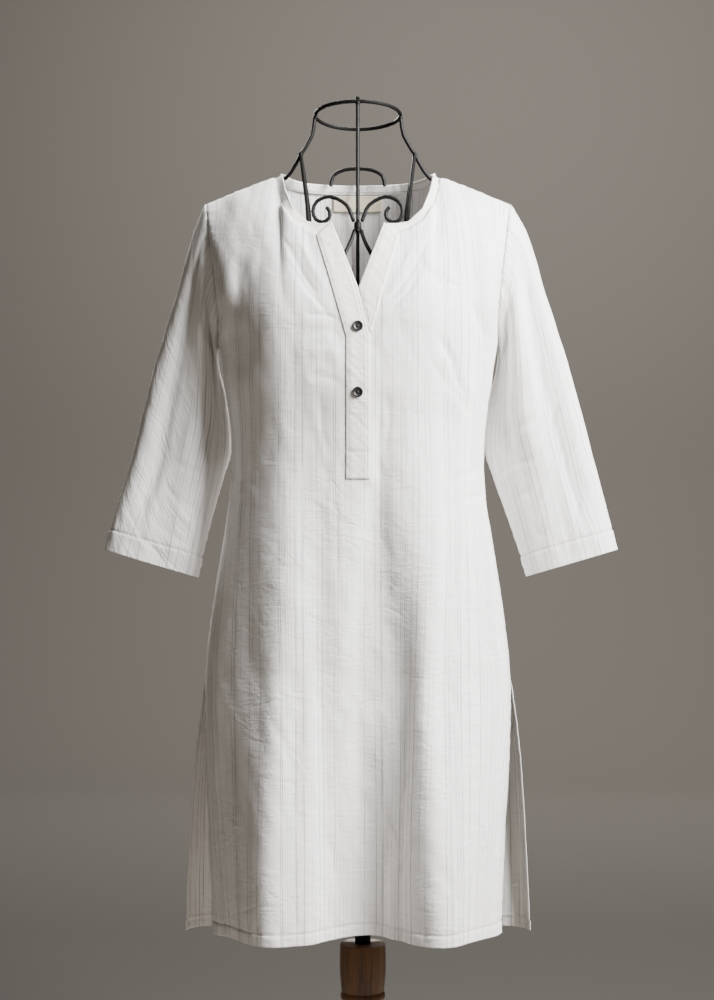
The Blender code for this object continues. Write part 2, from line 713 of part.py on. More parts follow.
    hip = []
    for k in range(36):
        turn = math.tau * k / 36
        side = FRONT if math.cos(turn) > 0 else BACK
        hip.append(inside(side, math.sin(turn) * 0.985, HIP_Z, 0.0050))
    tube("hip_ring", hip, metal, ring=True)
    hub_radius = 0.016
    for k, turn in enumerate((45, 135, 225, 315)):
        across = math.sin(math.radians(turn)) * 0.92
        end = inside(FRONT if turn in (45, 315) else BACK, across, HIP_Z, 0.0050 + clear - 0.0011)
        flat = Vector((end.x + FORM_X, end.y, 0)).normalized()
        first = Vector((flat.x * (hub_radius + SEAM_GAP) - FORM_X, flat.y * (hub_radius + SEAM_GAP), HIP_Z))
        tube("hip_spoke_" + str(k + 1), [first.lerp(end, t / 4) for t in range(5)], metal)
    cap = HIP_Z + 0.013
    turned("hub", ((0, cap), (hub_radius - 0.003, cap), (hub_radius, cap - 0.003),
                   (hub_radius, HIP_Z - 0.010), (hub_radius - 0.002, HIP_Z - 0.012),
                   (0, HIP_Z - 0.012)), metal, 24)
    pole_top = HIP_Z - 0.012 - SEAM_GAP
    turned("pole", ((0, pole_top), (POLE_RADIUS, pole_top), (POLE_RADIUS, POST_TOP_Z + SEAM_GAP),
                    (0, POST_TOP_Z + SEAM_GAP)), metal, 24)

    foot = BASE_HEIGHT + SEAM_GAP
    post = ((0, POST_TOP_Z), (0.0262, POST_TOP_Z), (0.0272, POST_TOP_Z - 0.0012),
            (0.0276, 0.425), (0.0274, 0.405), (0.0258, 0.385), (0.0250, 0.3825), (0.0262, 0.3805),
            (0.0268, 0.3770), (0.0262, 0.3735), (0.0235, 0.3715), (0.0205, 0.366), (0.0190, 0.350),
            (0.0200, 0.310), (0.0232, 0.250), (0.0262, 0.190), (0.0270, 0.150), (0.0255, 0.112),
            (0.0215, 0.085), (0.0200, 0.078), (0.0232, 0.074), (0.0250, 0.068), (0.0232, 0.062),
            (0.0220, 0.058), (0.0300, 0.046), (0.0360, 0.036), (0.0370, foot), (0, foot))
    turned("post", post, wood, 24)
    base = ((0, BASE_HEIGHT), (0.060, BASE_HEIGHT), (0.128, BASE_HEIGHT - 0.003),
            (0.146, BASE_HEIGHT - 0.006), (0.1560, BASE_HEIGHT - 0.010), (BASE_RADIUS, 0.012),
            (BASE_RADIUS, 0.006), (BASE_RADIUS - 0.004, 0.001), (BASE_RADIUS - 0.007, 0), (0, 0))
    turned("base", base, wood, 40)


clear_scene()
parts = bpy.data.collections.new("kurta_on_wire_dress_form")
bpy.context.scene.collection.children.link(parts)

cotton = material("white_cotton", (0.86, 0.85, 0.84), 0.85)
label_cloth = material("cream_label", (0.78, 0.70, 0.56), 0.75)
button_black = material("black_button", (0.02, 0.02, 0.022), 0.35)
black_metal = material("black_wire", (0.015, 0.015, 0.016), 0.38, 0.6)
brown_wood = material("brown_wood", (0.20, 0.10, 0.045), 0.5)

make_front(cotton)
make_back(cotton)
make_sleeve("sleeve_right", RIGHT_SLEEVE, 1, cotton)
make_sleeve("sleeve_left", LEFT_SLEEVE, -1, cotton)
make_band(cotton)
make_plackets(cotton)
make_buttons(button_black)
make_label(label_cloth)
make_form(black_metal, brown_wood)
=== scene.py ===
# %% [markdown]
# # A kurta tunic on its wire dress form
# The cloth, wires and wood already exist as plain solids that fix every size. This
# lesson dresses them: thin creased cotton over each cloth solid, smooth wire, turned
# wood, and a soft studio. The solids are loaded first, so nothing has to be fitted.

# %% Load the solids
import json
import math
import random
from functools import partial

import bmesh
import bpy
import numpy as np
from mathutils import Matrix, Vector

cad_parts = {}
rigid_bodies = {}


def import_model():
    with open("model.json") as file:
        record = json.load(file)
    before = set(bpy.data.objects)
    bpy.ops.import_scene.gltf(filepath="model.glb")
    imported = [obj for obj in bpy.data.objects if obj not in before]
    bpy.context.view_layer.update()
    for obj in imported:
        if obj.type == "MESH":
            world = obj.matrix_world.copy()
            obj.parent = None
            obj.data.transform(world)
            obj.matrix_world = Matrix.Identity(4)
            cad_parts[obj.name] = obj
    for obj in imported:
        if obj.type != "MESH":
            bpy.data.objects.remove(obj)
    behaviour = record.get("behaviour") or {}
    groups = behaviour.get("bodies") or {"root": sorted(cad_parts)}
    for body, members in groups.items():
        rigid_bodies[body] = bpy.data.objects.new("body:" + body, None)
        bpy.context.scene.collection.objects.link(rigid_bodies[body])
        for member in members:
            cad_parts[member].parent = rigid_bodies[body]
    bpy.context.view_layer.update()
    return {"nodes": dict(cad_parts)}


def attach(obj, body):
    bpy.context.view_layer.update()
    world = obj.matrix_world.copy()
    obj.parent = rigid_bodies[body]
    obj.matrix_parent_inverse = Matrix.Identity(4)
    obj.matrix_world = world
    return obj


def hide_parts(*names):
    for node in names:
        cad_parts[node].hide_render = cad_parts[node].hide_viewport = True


for leftover in list(bpy.data.objects):
    bpy.data.objects.remove(leftover)
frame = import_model()

# %% [markdown]
# ## The tunic's own sizes
# A garment is a few measured lines: neck, shoulder tip, armpit, slit and hem. The
# body is a row of sections, each with a half width, a depth and the place of its side
# edge. Everything below is worked out from these, so the looks keep the solids' form.

# %% Sizes in metres
FORM_X = -0.006
# Each side is named by the way it faces along y.
FRONT, BACK = -1, 1
ARMPIT_Z, SLIT_Z, FRONT_HEM, BACK_HEM = 1.157, 0.766, 0.465, 0.455
SIDE_ROUND = 2.3
NECK_X, NECK_Z = 0.092, 1.361
TIP_X, TIP_Z = 0.183, 1.327
SHOULDER_Y = 0.004
NECK_SEAM_X = 0.101
NECK_Y = {FRONT: -0.050, BACK: 0.058}
PLACKET_HALF, PLACKET_FOOT_Z, PLACKET_OPEN_Z = 0.0135, 0.987, 1.145
PLACKET_TOP, V_FOOT_Z, V_TOP = (0.047, 1.264), 1.2005, (0.030, 1.280)
BUTTON_Z, BUTTON_RADIUS = (1.157, 1.084), 0.006
RING_Z, RING_RADIUS = 1.432, 0.051
CLOTH_THICK, BAND_THICK, LIFT = 0.0007, 0.0012, 0.0004
SEAM_GAP, UNDERLAP = 0.0003, 0.004
# How far in from the edge each line of stitches runs.
HEM_STITCH, SLIT_STITCH, CUFF_STITCH, EDGE_STITCH, BOX_STITCH = 0.013, 0.010, 0.025, 0.0022, 0.031
# Half widths of the shade in a seam and under a line of edge stitches, and how far in that line's groove is.
SEAM_SHADE, EDGE_SHADE, EDGE_GROOVE = 0.0022, 0.0009, 0.0025

# Sections of the body: height, half width, depth and place of the side edge.
SECTIONS = {FRONT: (
    (0.465, 0.166, 0.060, -0.052),
    (0.520, 0.170, 0.069, -0.043),
    (0.600, 0.175, 0.080, -0.029),
    (0.700, 0.180, 0.091, -0.011),
    (0.766, 0.181, 0.096, 0.000),
    (0.865, 0.169, 0.098, 0.000),
    (0.973, 0.152, 0.102, 0.000),
    (1.043, 0.150, 0.108, 0.000),
    (1.100, 0.157, 0.117, 0.000),
    (1.157, 0.166, 0.118, 0.000),
), BACK: (
    (0.455, 0.2045, 0.054, -0.004),
    (0.520, 0.2020, 0.060, -0.003),
    (0.600, 0.1980, 0.068, -0.001),
    (0.690, 0.1910, 0.078, 0.001),
    (0.766, 0.1810, 0.086, 0.000),
    (0.865, 0.1690, 0.086, 0.000),
    (0.973, 0.1520, 0.084, 0.000),
    (1.043, 0.1500, 0.086, 0.000),
    (1.100, 0.1570, 0.093, 0.000),
    (1.157, 0.1660, 0.095, 0.000),
)}
# Long folds: place across at top and foot, top and foot heights, half width, rise.
FOLDS = {FRONT: (
    (-0.50, -0.60, 1.05, 0.455, 0.20, 0.026),
    (0.52, 0.60, 1.05, 0.455, 0.20, 0.026),
    (0.00, 0.04, 0.80, 0.455, 0.24, -0.040),
    (-0.86, -0.88, 0.90, 0.455, 0.08, -0.007),
    (0.28, 0.33, 0.95, 0.455, 0.07, -0.006),
    (-0.30, -0.34, 0.95, 0.455, 0.08, 0.005),
), BACK: (
    (-0.42, -0.50, 1.00, 0.455, 0.18, 0.020),
    (0.46, 0.48, 1.02, 0.455, 0.20, 0.018),
    (0.02, 0.00, 0.85, 0.455, 0.20, -0.016),
    (-0.74, -0.80, 0.90, 0.455, 0.10, -0.008),
    (0.76, 0.82, 0.90, 0.455, 0.10, -0.006),
)}
# The bust: place across, height, width across, width in height and rise.
BUST = (0.50, 1.165, 0.30, 0.055, 0.008)
# Handles of the curves at the armhole's edge, and lines of (half width, height) round the neck.
ARMHOLE = {FRONT: ((-0.009, -0.055, 0.028), (-0.007, -0.054, -0.037)),
           BACK: ((-0.006, 0.050, 0.033), (-0.005, 0.048, -0.037))}
NECK_SEAM = ((0.047, 1.264), (0.061, 1.2708), (0.0776, 1.283), (0.092, 1.308), (0.0985, 1.334),
             (0.101, 1.3576))
NECKLINE = ((0.030, 1.280), (0.045, 1.2805), (0.058, 1.284), (0.076, 1.303), (0.086, 1.330),
            (0.092, 1.361))
# Sleeves: part of the length, outer edge x and z, inner edge x, y and z, half depth.
RIGHT_SLEEVE = (
    (0.00, 0.183, 1.327, 0.166, 0.000, 1.157, 0.046),
    (0.10, 0.203, 1.290, 0.171, 0.010, 1.137, 0.045),
    (0.25, 0.222, 1.226, 0.1625, 0.026, 1.100, 0.043),
    (0.50, 0.255, 1.120, 0.1555, 0.030, 1.036, 0.037),
    (0.70, 0.281, 1.024, 0.169, 0.022, 0.990, 0.032),
    (0.85, 0.296, 0.966, 0.188, 0.014, 0.933, 0.028),
    (1.00, 0.310, 0.911, 0.2046, 0.010, 0.8796, 0.026),
)
LEFT_SLEEVE = (
    (0.00, 0.183, 1.327, 0.166, 0.000, 1.157, 0.046),
    (0.10, 0.197, 1.290, 0.171, 0.010, 1.137, 0.045),
    (0.25, 0.214, 1.226, 0.1625, 0.026, 1.100, 0.043),
    (0.50, 0.245, 1.122, 0.1550, 0.030, 1.036, 0.037),
    (0.70, 0.270, 1.022, 0.167, 0.022, 0.990, 0.032),
    (0.85, 0.287, 0.966, 0.181, 0.014, 0.934, 0.028),
    (1.00, 0.303, 0.911, 0.1938, 0.010, 0.878, 0.026),
)
# Soft sleeve folds: degrees round at top and foot, part of the length at both ends, half width, rise.
SLEEVE_FOLDS = (
    (60, 62, 0.05, 0.95, 16, -0.007),
    (95, 100, 0.02, 0.75, 15, 0.006),
    (128, 132, 0.02, 0.70, 15, -0.008),
    (250, 245, 0.05, 0.80, 18, -0.007),
    (300, 305, 0.05, 0.95, 16, 0.005),
)

# %% [markdown]
# ## Reading curves
# A pattern cutter draws a smooth line through a few marks. `read` does that for a
# table, and the small helpers beside it blend, ease and look for a crossing.

# %% Curve helpers
def read(table, key):
    """Values of a table at one key, on a smooth curve through its rows."""
    if key <= table[0][0]:
        return table[0][1:]
    if key >= table[-1][0]:
        return table[-1][1:]
    low = max(i for i in range(len(table) - 1) if table[i][0] <= key)
    rows = [table[max(low - 1, 0)], table[low], table[low + 1], table[min(low + 2, len(table) - 1)]]
    span = rows[2][0] - rows[1][0]
    t = (key - rows[1][0]) / span
    values = []
    for column in range(1, len(table[0])):
        before, start, end, after = (row[column] for row in rows)
        lean_in = (end - before) / (rows[2][0] - rows[0][0]) * span
        lean_out = (after - start) / (rows[3][0] - rows[1][0]) * span
        values.append((2 * t**3 - 3 * t**2 + 1) * start + (t**3 - 2 * t**2 + t) * lean_in
                      + (3 * t**2 - 2 * t**3) * end + (t**3 - t**2) * lean_out)
    return values


def smooth(t):
    """Eases in and out between 0 and 1."""
    t = min(max(t, 0.0), 1.0)
    return t * t * (3 - 2 * t)


def mix(a, b, t):
    """From a to b by the part t."""
    return a + (b - a) * t


def bezier(a, b, c, d, t):
    """A curve from a to d that starts towards b and ends from c."""
    u = 1 - t
    return a * u**3 + b * 3 * t * u**2 + c * 3 * t**2 * u + d * t**3


def find_root(function, low, high, rounds=26):
    """Where a rising function crosses nought."""
    for _ in range(rounds):
        middle = (low + high) / 2
        if function(middle) < 0:
            low = middle
        else:
            high = middle
    return (low + high) / 2


def walk(points):
    """A function that walks a line of points at an even pace, from 0 to 1."""
    lengths = [math.dist(a, b) for a, b in zip(points, points[1:])]
    whole = sum(lengths)

    def at(part):
        left = part * whole
        for a, b, length in zip(points, points[1:], lengths):
            if left <= length + 1e-9:
                return [mix(p, q, left / length) for p, q in zip(a, b)]
            left -= length
        return list(points[-1])
    return at

# %% [markdown]
# ## The hanging cloth
# Below the armpit the body is a stack of rounded sections. Above it each thread runs
# up from the chest and bends over the shoulder, which a Bezier curve does well.
# These are the same rules that made the solids, so the new cloth lies in their walls.

# %% The body's surface
def folds(table, across, z):
    """Summed rise of the long folds at one place."""
    rise = 0.0
    for top_across, foot_across, top_z, foot_z, half_width, height in table:
        down = (top_z - z) / (top_z - foot_z)
        middle = mix(top_across, foot_across, min(max(down, 0), 1))
        rise += height * smooth(down) * math.exp(-((across - middle) / half_width) ** 2)
    return rise


def shoulder_z(x):
    """Height of the straight shoulder seam."""
    return NECK_Z + (TIP_Z - NECK_Z) * (abs(x) - NECK_X) / (TIP_X - NECK_X)


def bust(across, z):
    """The chest's soft rise on either side."""
    place, height, wide, tall, rise = BUST
    return rise * math.exp(-((abs(across) - place) / wide) ** 2 - ((z - height) / tall) ** 2)


def low_point(side, across, z):
    """The body below the armpit, across from -1 to 1 over the panel's width."""
    half, depth, edge = read(SECTIONS[side], z)
    edge = edge if z < SLIT_Z else 0.0
    round_part = max(1 - abs(across) ** SIDE_ROUND, 0) ** (1 / SIDE_ROUND)
    out = depth * round_part + folds(FOLDS[side], across, z)
    if side == FRONT:
        out += bust(across, z)
    return Vector((half * across, edge + side * (out + SEAM_GAP / 2), z))


def top_point(side, across):
    """The shoulder line, and the curve round the neck that closes the surface."""
    x = across * TIP_X
    if abs(x) >= NECK_X:
        return Vector((x, SHOULDER_Y + side * SEAM_GAP / 2, shoulder_z(x)))
    turn = math.asin(x / NECK_X)
    y = SHOULDER_Y + side * SEAM_GAP / 2 + (NECK_Y[side] - SHOULDER_Y) * math.cos(turn)
    return Vector((x, y, NECK_Z + 0.005 * math.cos(turn) * (side == BACK)))


def high_point(side, across, up):
    """The body above the armpit, up from 0 at the armpit to 1 at the top."""
    chest = low_point(side, across, ARMPIT_Z)
    top = top_point(side, across)
    # How much a thread belongs to the armhole's edge, and to the neck.
    edge = smooth((abs(across) - 0.72) / 0.28)
    neck = 1 - smooth((abs(across) * TIP_X - 0.05) / (NECK_X - 0.03))
    mirror = Vector((math.copysign(1, across), 1, 1))
    over = Vector((0, -side * mix(0.97, 0.50, neck), mix(0.24, 0.85, neck)))
    first = chest + Vector((0, side * 0.004, 0.080)).lerp(mirror * Vector(ARMHOLE[side][0]), edge)
    second = top + (-over.normalized() * 0.064).lerp(mirror * Vector(ARMHOLE[side][1]), edge)
    point = bezier(chest, first, second, top, up)
    # The bust goes on above the armpit and dies out towards the shoulder.
    if side == FRONT:
        fade = (1 - up) ** 2
        point.y -= (bust(across, point.z) - bust(across, ARMPIT_Z) * fade) * (1 - up)
    return point


def curve_height(curve, x):
    """Height of a line round the neck at a half width."""
    x = abs(x)
    for (x0, z0), (x1, z1) in zip(curve, curve[1:]):
        if x <= x1:
            return mix(z0, z1, (x - x0) / (x1 - x0))
    return curve[-1][1]


def slot_half(z):
    """Half width of the placket's slot, which opens into the V, at one height or an array of them."""
    open_part = np.maximum(z - PLACKET_OPEN_Z, 0) / (PLACKET_TOP[1] - PLACKET_OPEN_Z)
    return mix(PLACKET_HALF, PLACKET_TOP[0], open_part)


def front_at(x, z):
    """The front's inner face at a place seen from the front."""
    if z <= ARMPIT_Z:
        return low_point(FRONT, x / read(SECTIONS[FRONT], z)[0], z)
    across = x / TIP_X
    # The cloth narrows upward, so the thread that passes the place is found in three steps.
    for _ in range(3):
        up = find_root(lambda t: high_point(FRONT, across, t).z - z, 0, 1, 16)
        point = high_point(FRONT, across, up)
        if abs(x) > 1e-6:
            across *= x / point.x
    return point

# %% [markdown]
# ## Listed creases
# Each row is one crease: its rise, its width and its lean, then the line it follows.
# The lean makes one flank steeper than the other, as real folds are. Everything is in
# millimetres. On the front and back, the places are across from the middle and up.

# %% Crease tables
FRONT_CREASES = (
    (4.7, 18, 1.60, (-98, 1300), (-94, 1150), (-84, 985), (-58, 760), (-52, 540), (-50, 340)),
    (7.0, 30, 1.10, (-97, 1010), (-90, 860), (-87, 740), (-84, 330)),
    (-9.6, 22, 1.00, (24, 1085), (21, 960), (18, 755), (26, 400)),
    (3.0, 22, 1.20, (-24, 1000), (-22, 800), (-10, 440)),
    (13.0, 24, 1.35, (80, 1060), (78, 900), (77, 740), (86, 340)),
    (-4.5, 11, 0.70, (152, 900), (160, 700), (164, 440)),
    (-4.5, 18, 1.00, (-156, 1200), (-142, 1150), (-126, 1105)),
    (-1.2, 8, 0.80, (-138, 1250), (-136, 1185)),
    (1.2, 13, 1.00, (-122, 1262), (-118, 1170)),
    (-1.7, 5, 0.60, (-85, 1264), (-66, 1224), (-40, 1180)),
    (-1.4, 4, 0.70, (-78, 1232), (-54, 1194), (-30, 1166)),
    (1.3, 6, 0.90, (-70, 1268), (-50, 1222), (-30, 1192)),
    (-1.7, 5, 0.60, (84, 1268), (62, 1222), (34, 1184)),
    (-1.4, 4, 0.70, (77, 1236), (56, 1196), (32, 1170)),
    (1.3, 6, 0.90, (66, 1262), (48, 1216), (30, 1190)),
    (-1.5, 4, 0.60, (-62, 1170), (-34, 1168), (-12, 1160)),
    (-1.3, 4, 0.80, (-66, 1146), (-38, 1152), (-12, 1146)),
    (1.4, 8, 1.00, (-70, 1128), (-36, 1130), (-12, 1122)),
    (-1.4, 4, 0.70, (-60, 1104), (-34, 1100), (-14, 1092)),
    (-4.6, 7, 0.60, (92, 1146), (108, 1116), (122, 1082)),
    (-2.0, 6, 0.70, (80, 1120), (104, 1092), (132, 1064)),
    (1.9, 8, 0.90, (96, 1132), (118, 1104), (140, 1082)),
    (-1.7, 6, 0.80, (126, 1190), (140, 1168), (150, 1130)),
    (-1.9, 6, 0.70, (70, 1230), (92, 1210), (126, 1204)),
    (-1.3, 4, 0.70, (17, 938), (30, 916), (41, 892)),
    (-1.3, 4, 0.70, (44, 884), (32, 860), (20, 832)),
    (-1.4, 4, 0.80, (16, 852), (30, 828), (44, 802)),
    (-1.0, 4, 0.60, (-26, 986), (-24, 900), (-22, 836)),
    (-1.5, 5, 0.70, (20, 680), (34, 654), (46, 632)),
    (-1.4, 5, 0.70, (70, 660), (56, 640), (44, 610)),
    (-1.6, 5, 0.80, (26, 612), (42, 588), (62, 566)),
    (-1.3, 4, 0.70, (78, 592), (66, 566), (50, 540)),
    (1.0, 6, 1.00, (18, 640), (34, 612), (50, 592)),
    (-1.4, 5, 0.70, (-160, 1006), (-138, 994), (-110, 978)),
    (-1.2, 5, 0.80, (-162, 972), (-136, 968), (-116, 954)),
    (-1.4, 5, 0.70, (150, 1010), (128, 996), (98, 984)),
    (-1.2, 4, 0.80, (152, 974), (126, 968), (100, 950)),
    (-1.2, 5, 0.80, (-98, 720), (-84, 690), (-76, 652)),
    (-1.3, 5, 0.70, (-140, 640), (-128, 606), (-120, 570)),
    (-1.2, 5, 0.70, (100, 760), (112, 722), (118, 690)),
    (-1.4, 6, 0.80, (88, 560), (104, 530), (112, 500)),
    (-1.2, 4, 0.80, (-40, 590), (-28, 556), (-24, 520)),
    (-0.9, 4, 0.80, (-44, 1086), (-40, 1040), (-30, 1006)),
    (-1.0, 4, 0.80, (30, 1090), (36, 1052), (30, 1016)),
)
BACK_CREASES = (
    (-6.0, 11, 0.60, (-88, 1290), (-84, 1150), (-92, 960), (-104, 700), (-112, 430)),
    (4.5, 16, 1.00, (-62, 1180), (-58, 960), (-62, 700), (-64, 430)),
    (-6.0, 14, 0.80, (22, 1130), (16, 930), (10, 700), (6, 430)),
    (4.5, 18, 0.90, (64, 1160), (70, 930), (80, 700), (86, 430)),
    (-6.0, 12, 0.60, (104, 1120), (112, 930), (128, 700), (138, 430)),
    (4.0, 15, 1.10, (-140, 1010), (-150, 800), (-160, 430)),
    (-4.5, 10, 0.80, (-28, 860), (-34, 640), (-38, 430)),
    (-4.0, 9, 0.70, (158, 820), (172, 620), (178, 430)),
    (-2.0, 7, 0.70, (-120, 1236), (-128, 1186), (-146, 1140)),
    (-2.0, 7, 0.70, (118, 1240), (130, 1190), (148, 1146)),
    (-1.7, 6, 0.70, (-58, 1306), (-34, 1282), (-8, 1270)),
    (1.5, 8, 1.00, (62, 1302), (44, 1276), (18, 1262)),
    (-1.5, 5, 0.80, (-50, 1226), (-38, 1190), (-34, 1150)),
    (-1.5, 6, 0.80, (-156, 1020), (-130, 1004), (-98, 996)),
    (-1.4, 5, 0.80, (-150, 980), (-120, 972), (-90, 954)),
    (-1.7, 6, 0.70, (152, 1030), (120, 1010), (84, 1004)),
    (-1.5, 5, 0.80, (148, 986), (116, 976), (88, 960)),
    (-1.4, 5, 0.70, (-30, 1050), (-6, 1026), (14, 1022)),
    (-1.3, 5, 0.80, (40, 900), (56, 872), (60, 842)),
    (-1.4, 5, 0.80, (-92, 860), (-78, 826), (-76, 790)),
    (-1.4, 5, 0.70, (-30, 720), (-12, 690), (-4, 650)),
    (-1.5, 6, 0.80, (60, 640), (44, 604), (40, 566)),
    (-1.4, 5, 0.70, (150, 620), (138, 590), (134, 550)),
    (-1.3, 5, 0.80, (-140, 600), (-126, 568), (-120, 530)),
)
# On a sleeve: degrees round from the outer edge, and millimetres down from the tip.
RIGHT_CREASES = (
    (-5.0, 9, 0.60, (158, 40), (150, 130), (152, 230)),
    (-2.1, 9, 1.00, (92, 190), (86, 280), (90, 380), (92, 450)),
    (1.9, 11, 1.00, (60, 60), (56, 200), (58, 330), (56, 460)),
    (-2.0, 6, 0.70, (150, 170), (112, 200), (76, 238)),
    (-1.6, 5, 0.70, (162, 214), (126, 236), (92, 272)),
    (-1.5, 5, 0.70, (158, 260), (124, 286), (84, 300)),
    (-1.5, 6, 0.80, (30, 246), (62, 262), (96, 254)),
    (-1.4, 5, 0.70, (34, 312), (64, 328), (104, 322)),
    (-1.3, 5, 0.80, (150, 344), (120, 352), (84, 374)),
    (-1.2, 5, 0.80, (40, 384), (72, 396), (110, 388)),
    (-1.7, 7, 0.60, (136, 36), (128, 84), (118, 130)),
    (-1.0, 5, 0.70, (58, 16), (62, 52), (58, 92)),
    (-4.5, 10, 0.70, (246, 60), (240, 200), (244, 330), (240, 450)),
    (2.0, 10, 1.00, (290, 40), (296, 180), (292, 320), (296, 450)),
    (-1.6, 6, 0.70, (204, 206), (236, 226), (270, 262)),
    (-1.6, 6, 0.80, (200, 262), (232, 278), (266, 300)),
    (-1.4, 5, 0.70, (320, 250), (296, 270), (262, 276)),
    (-1.4, 5, 0.70, (206, 340), (240, 352), (272, 376)),
    (-1.6, 7, 0.70, (218, 40), (228, 90), (240, 130)),
)
LEFT_CREASES = (
    (-6.0, 13, 0.70, (90, 96), (88, 200), (86, 300), (82, 390)),
    (7.5, 16, 0.90, (122, 60), (126, 190), (124, 300), (120, 480)),
    (-4.6, 8, 0.60, (142, 34), (134, 90), (130, 150)),
    (1.2, 10, 1.00, (42, 80), (44, 240), (40, 450)),
    (-1.2, 6, 0.70, (160, 176), (126, 200), (98, 240)),
    (-1.2, 5, 0.70, (158, 236), (120, 256), (84, 290)),
    (-0.5, 5, 0.60, (36, 262), (62, 290), (98, 296)),
    (-1.2, 5, 0.70, (150, 292), (116, 312), (76, 330)),
    (-0.5, 5, 0.70, (40, 330), (74, 346), (112, 336)),
    (-1.0, 5, 0.80, (154, 336), (122, 360), (86, 378)),
    (-0.5, 5, 0.70, (30, 378), (62, 396), (100, 392)),
    (0.8, 7, 1.00, (140, 318), (108, 336), (70, 352)),
    (-1.0, 5, 0.80, (128, 396), (98, 408), (66, 424)),
    (-0.8, 5, 0.70, (52, 14), (56, 50), (52, 90)),
    (-4.5, 10, 0.70, (252, 60), (246, 210), (250, 340), (246, 450)),
    (2.0, 10, 1.00, (298, 40), (292, 180), (296, 320), (292, 450)),
    (-1.1, 6, 0.70, (202, 196), (234, 220), (272, 250)),
    (-1.1, 6, 0.80, (200, 270), (236, 282), (268, 312)),
    (-1.0, 5, 0.70, (322, 276), (292, 290), (260, 286)),
    (-1.0, 5, 0.70, (204, 352), (238, 366), (274, 382)),
    (-1.1, 7, 0.70, (216, 36), (226, 84), (236, 126)),
)
# A sleeve's length, and the cloth in one degree round it.
SLEEVE_LENGTH, SLEEVE_ARC = 0.440, 0.00076
TAPER = 0.34


def crease_rise(across, up, table):
    """Summed height of the creases at arrays of flat places, in metres."""
    total = np.zeros_like(across)
    for rise, width, lean, *line in table:
        line = np.array(line, float) / 1000
        steps = np.linalg.norm(np.diff(line, axis=0), axis=1)
        walked = np.concatenate(([0], np.cumsum(steps)))
        nearest = np.full_like(across, 1e9)
        side = np.zeros_like(across)
        travel = np.zeros_like(across)
        for k, (start, end) in enumerate(zip(line, line[1:])):
            way = (end - start) / steps[k]
            off_x, off_z = across - start[0], up - start[1]
            t = np.clip(off_x * way[0] + off_z * way[1], 0, steps[k])
            gap_x, gap_z = off_x - way[0] * t, off_z - way[1] * t
            gap = np.hypot(gap_x, gap_z)
            near = gap < nearest
            nearest = np.where(near, gap, nearest)
            side = np.where(near, way[0] * gap_z - way[1] * gap_x, side)
            travel = np.where(near, walked[k] + t, travel)
        # It tapers off over a third of its length at either end, and wavers in width.
        t = travel / walked[-1]
        taper = np.clip(t / TAPER, 0, 1) * np.clip((1 - t) / TAPER, 0, 1)
        taper = taper * (2 - taper)
        wide = width / 1000 * np.where(side > 0, 1.0, lean) * (0.85 + 0.3 * np.sin(3 * np.pi * t + rise))
        total += rise / 1000 * taper * np.exp(-(nearest / wide) ** 2)
    return total


print("creases placed:", len(FRONT_CREASES) + len(BACK_CREASES) + len(RIGHT_CREASES) + len(LEFT_CREASES))

# %% [markdown]
# ## From surface to thin cloth
# `Cloth` takes a grid of places on a solid's inner face, lifts the creases out of it
# and gives the sheet a real thickness. It remembers its grid, so stitches can be
# laid on the finished surface later. Its UV map is in metres of cloth, so the woven
# lines keep their true spacing round every fold.

# %% The cloth maker
def finished(name, shape, finish, slot=None):
    """A shape as a smooth piece. With a slot, it is part of the object and rides on it."""
    mesh = bpy.data.meshes.new(name)
    shape.to_mesh(mesh)
    shape.free()
    mesh.materials.append(finish)
    for polygon in mesh.polygons:
        polygon.use_smooth = True
    made = bpy.data.objects.new(name, mesh)
    bpy.context.scene.collection.objects.link(made)
    if slot:
        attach(made, "root")
    return made


def measure(points):
    """Metres of cloth along each row and up each column of a grid."""
    across = np.linalg.norm(np.diff(points, axis=1), axis=2)
    upward = np.linalg.norm(np.diff(points, axis=0), axis=2)
    return np.pad(np.cumsum(across, axis=1), ((0, 0), (1, 0))), np.pad(np.cumsum(upward, axis=0), ((1, 0), (0, 0)))


def grid_normals(points, outward, closed):
    """The way out of the cloth at each place, the same on both sides of a closed tube's seam."""
    normals = np.cross(np.gradient(points, axis=1), np.gradient(points, axis=0)) * outward
    normals /= np.maximum(np.linalg.norm(normals, axis=2, keepdims=True), 1e-12)
    if closed:
        seam = normals[:, 0] + normals[:, -1]
        normals[:, 0] = normals[:, -1] = seam / np.linalg.norm(seam, axis=1, keepdims=True)
    return normals


SAME_PLACE = 0.00002


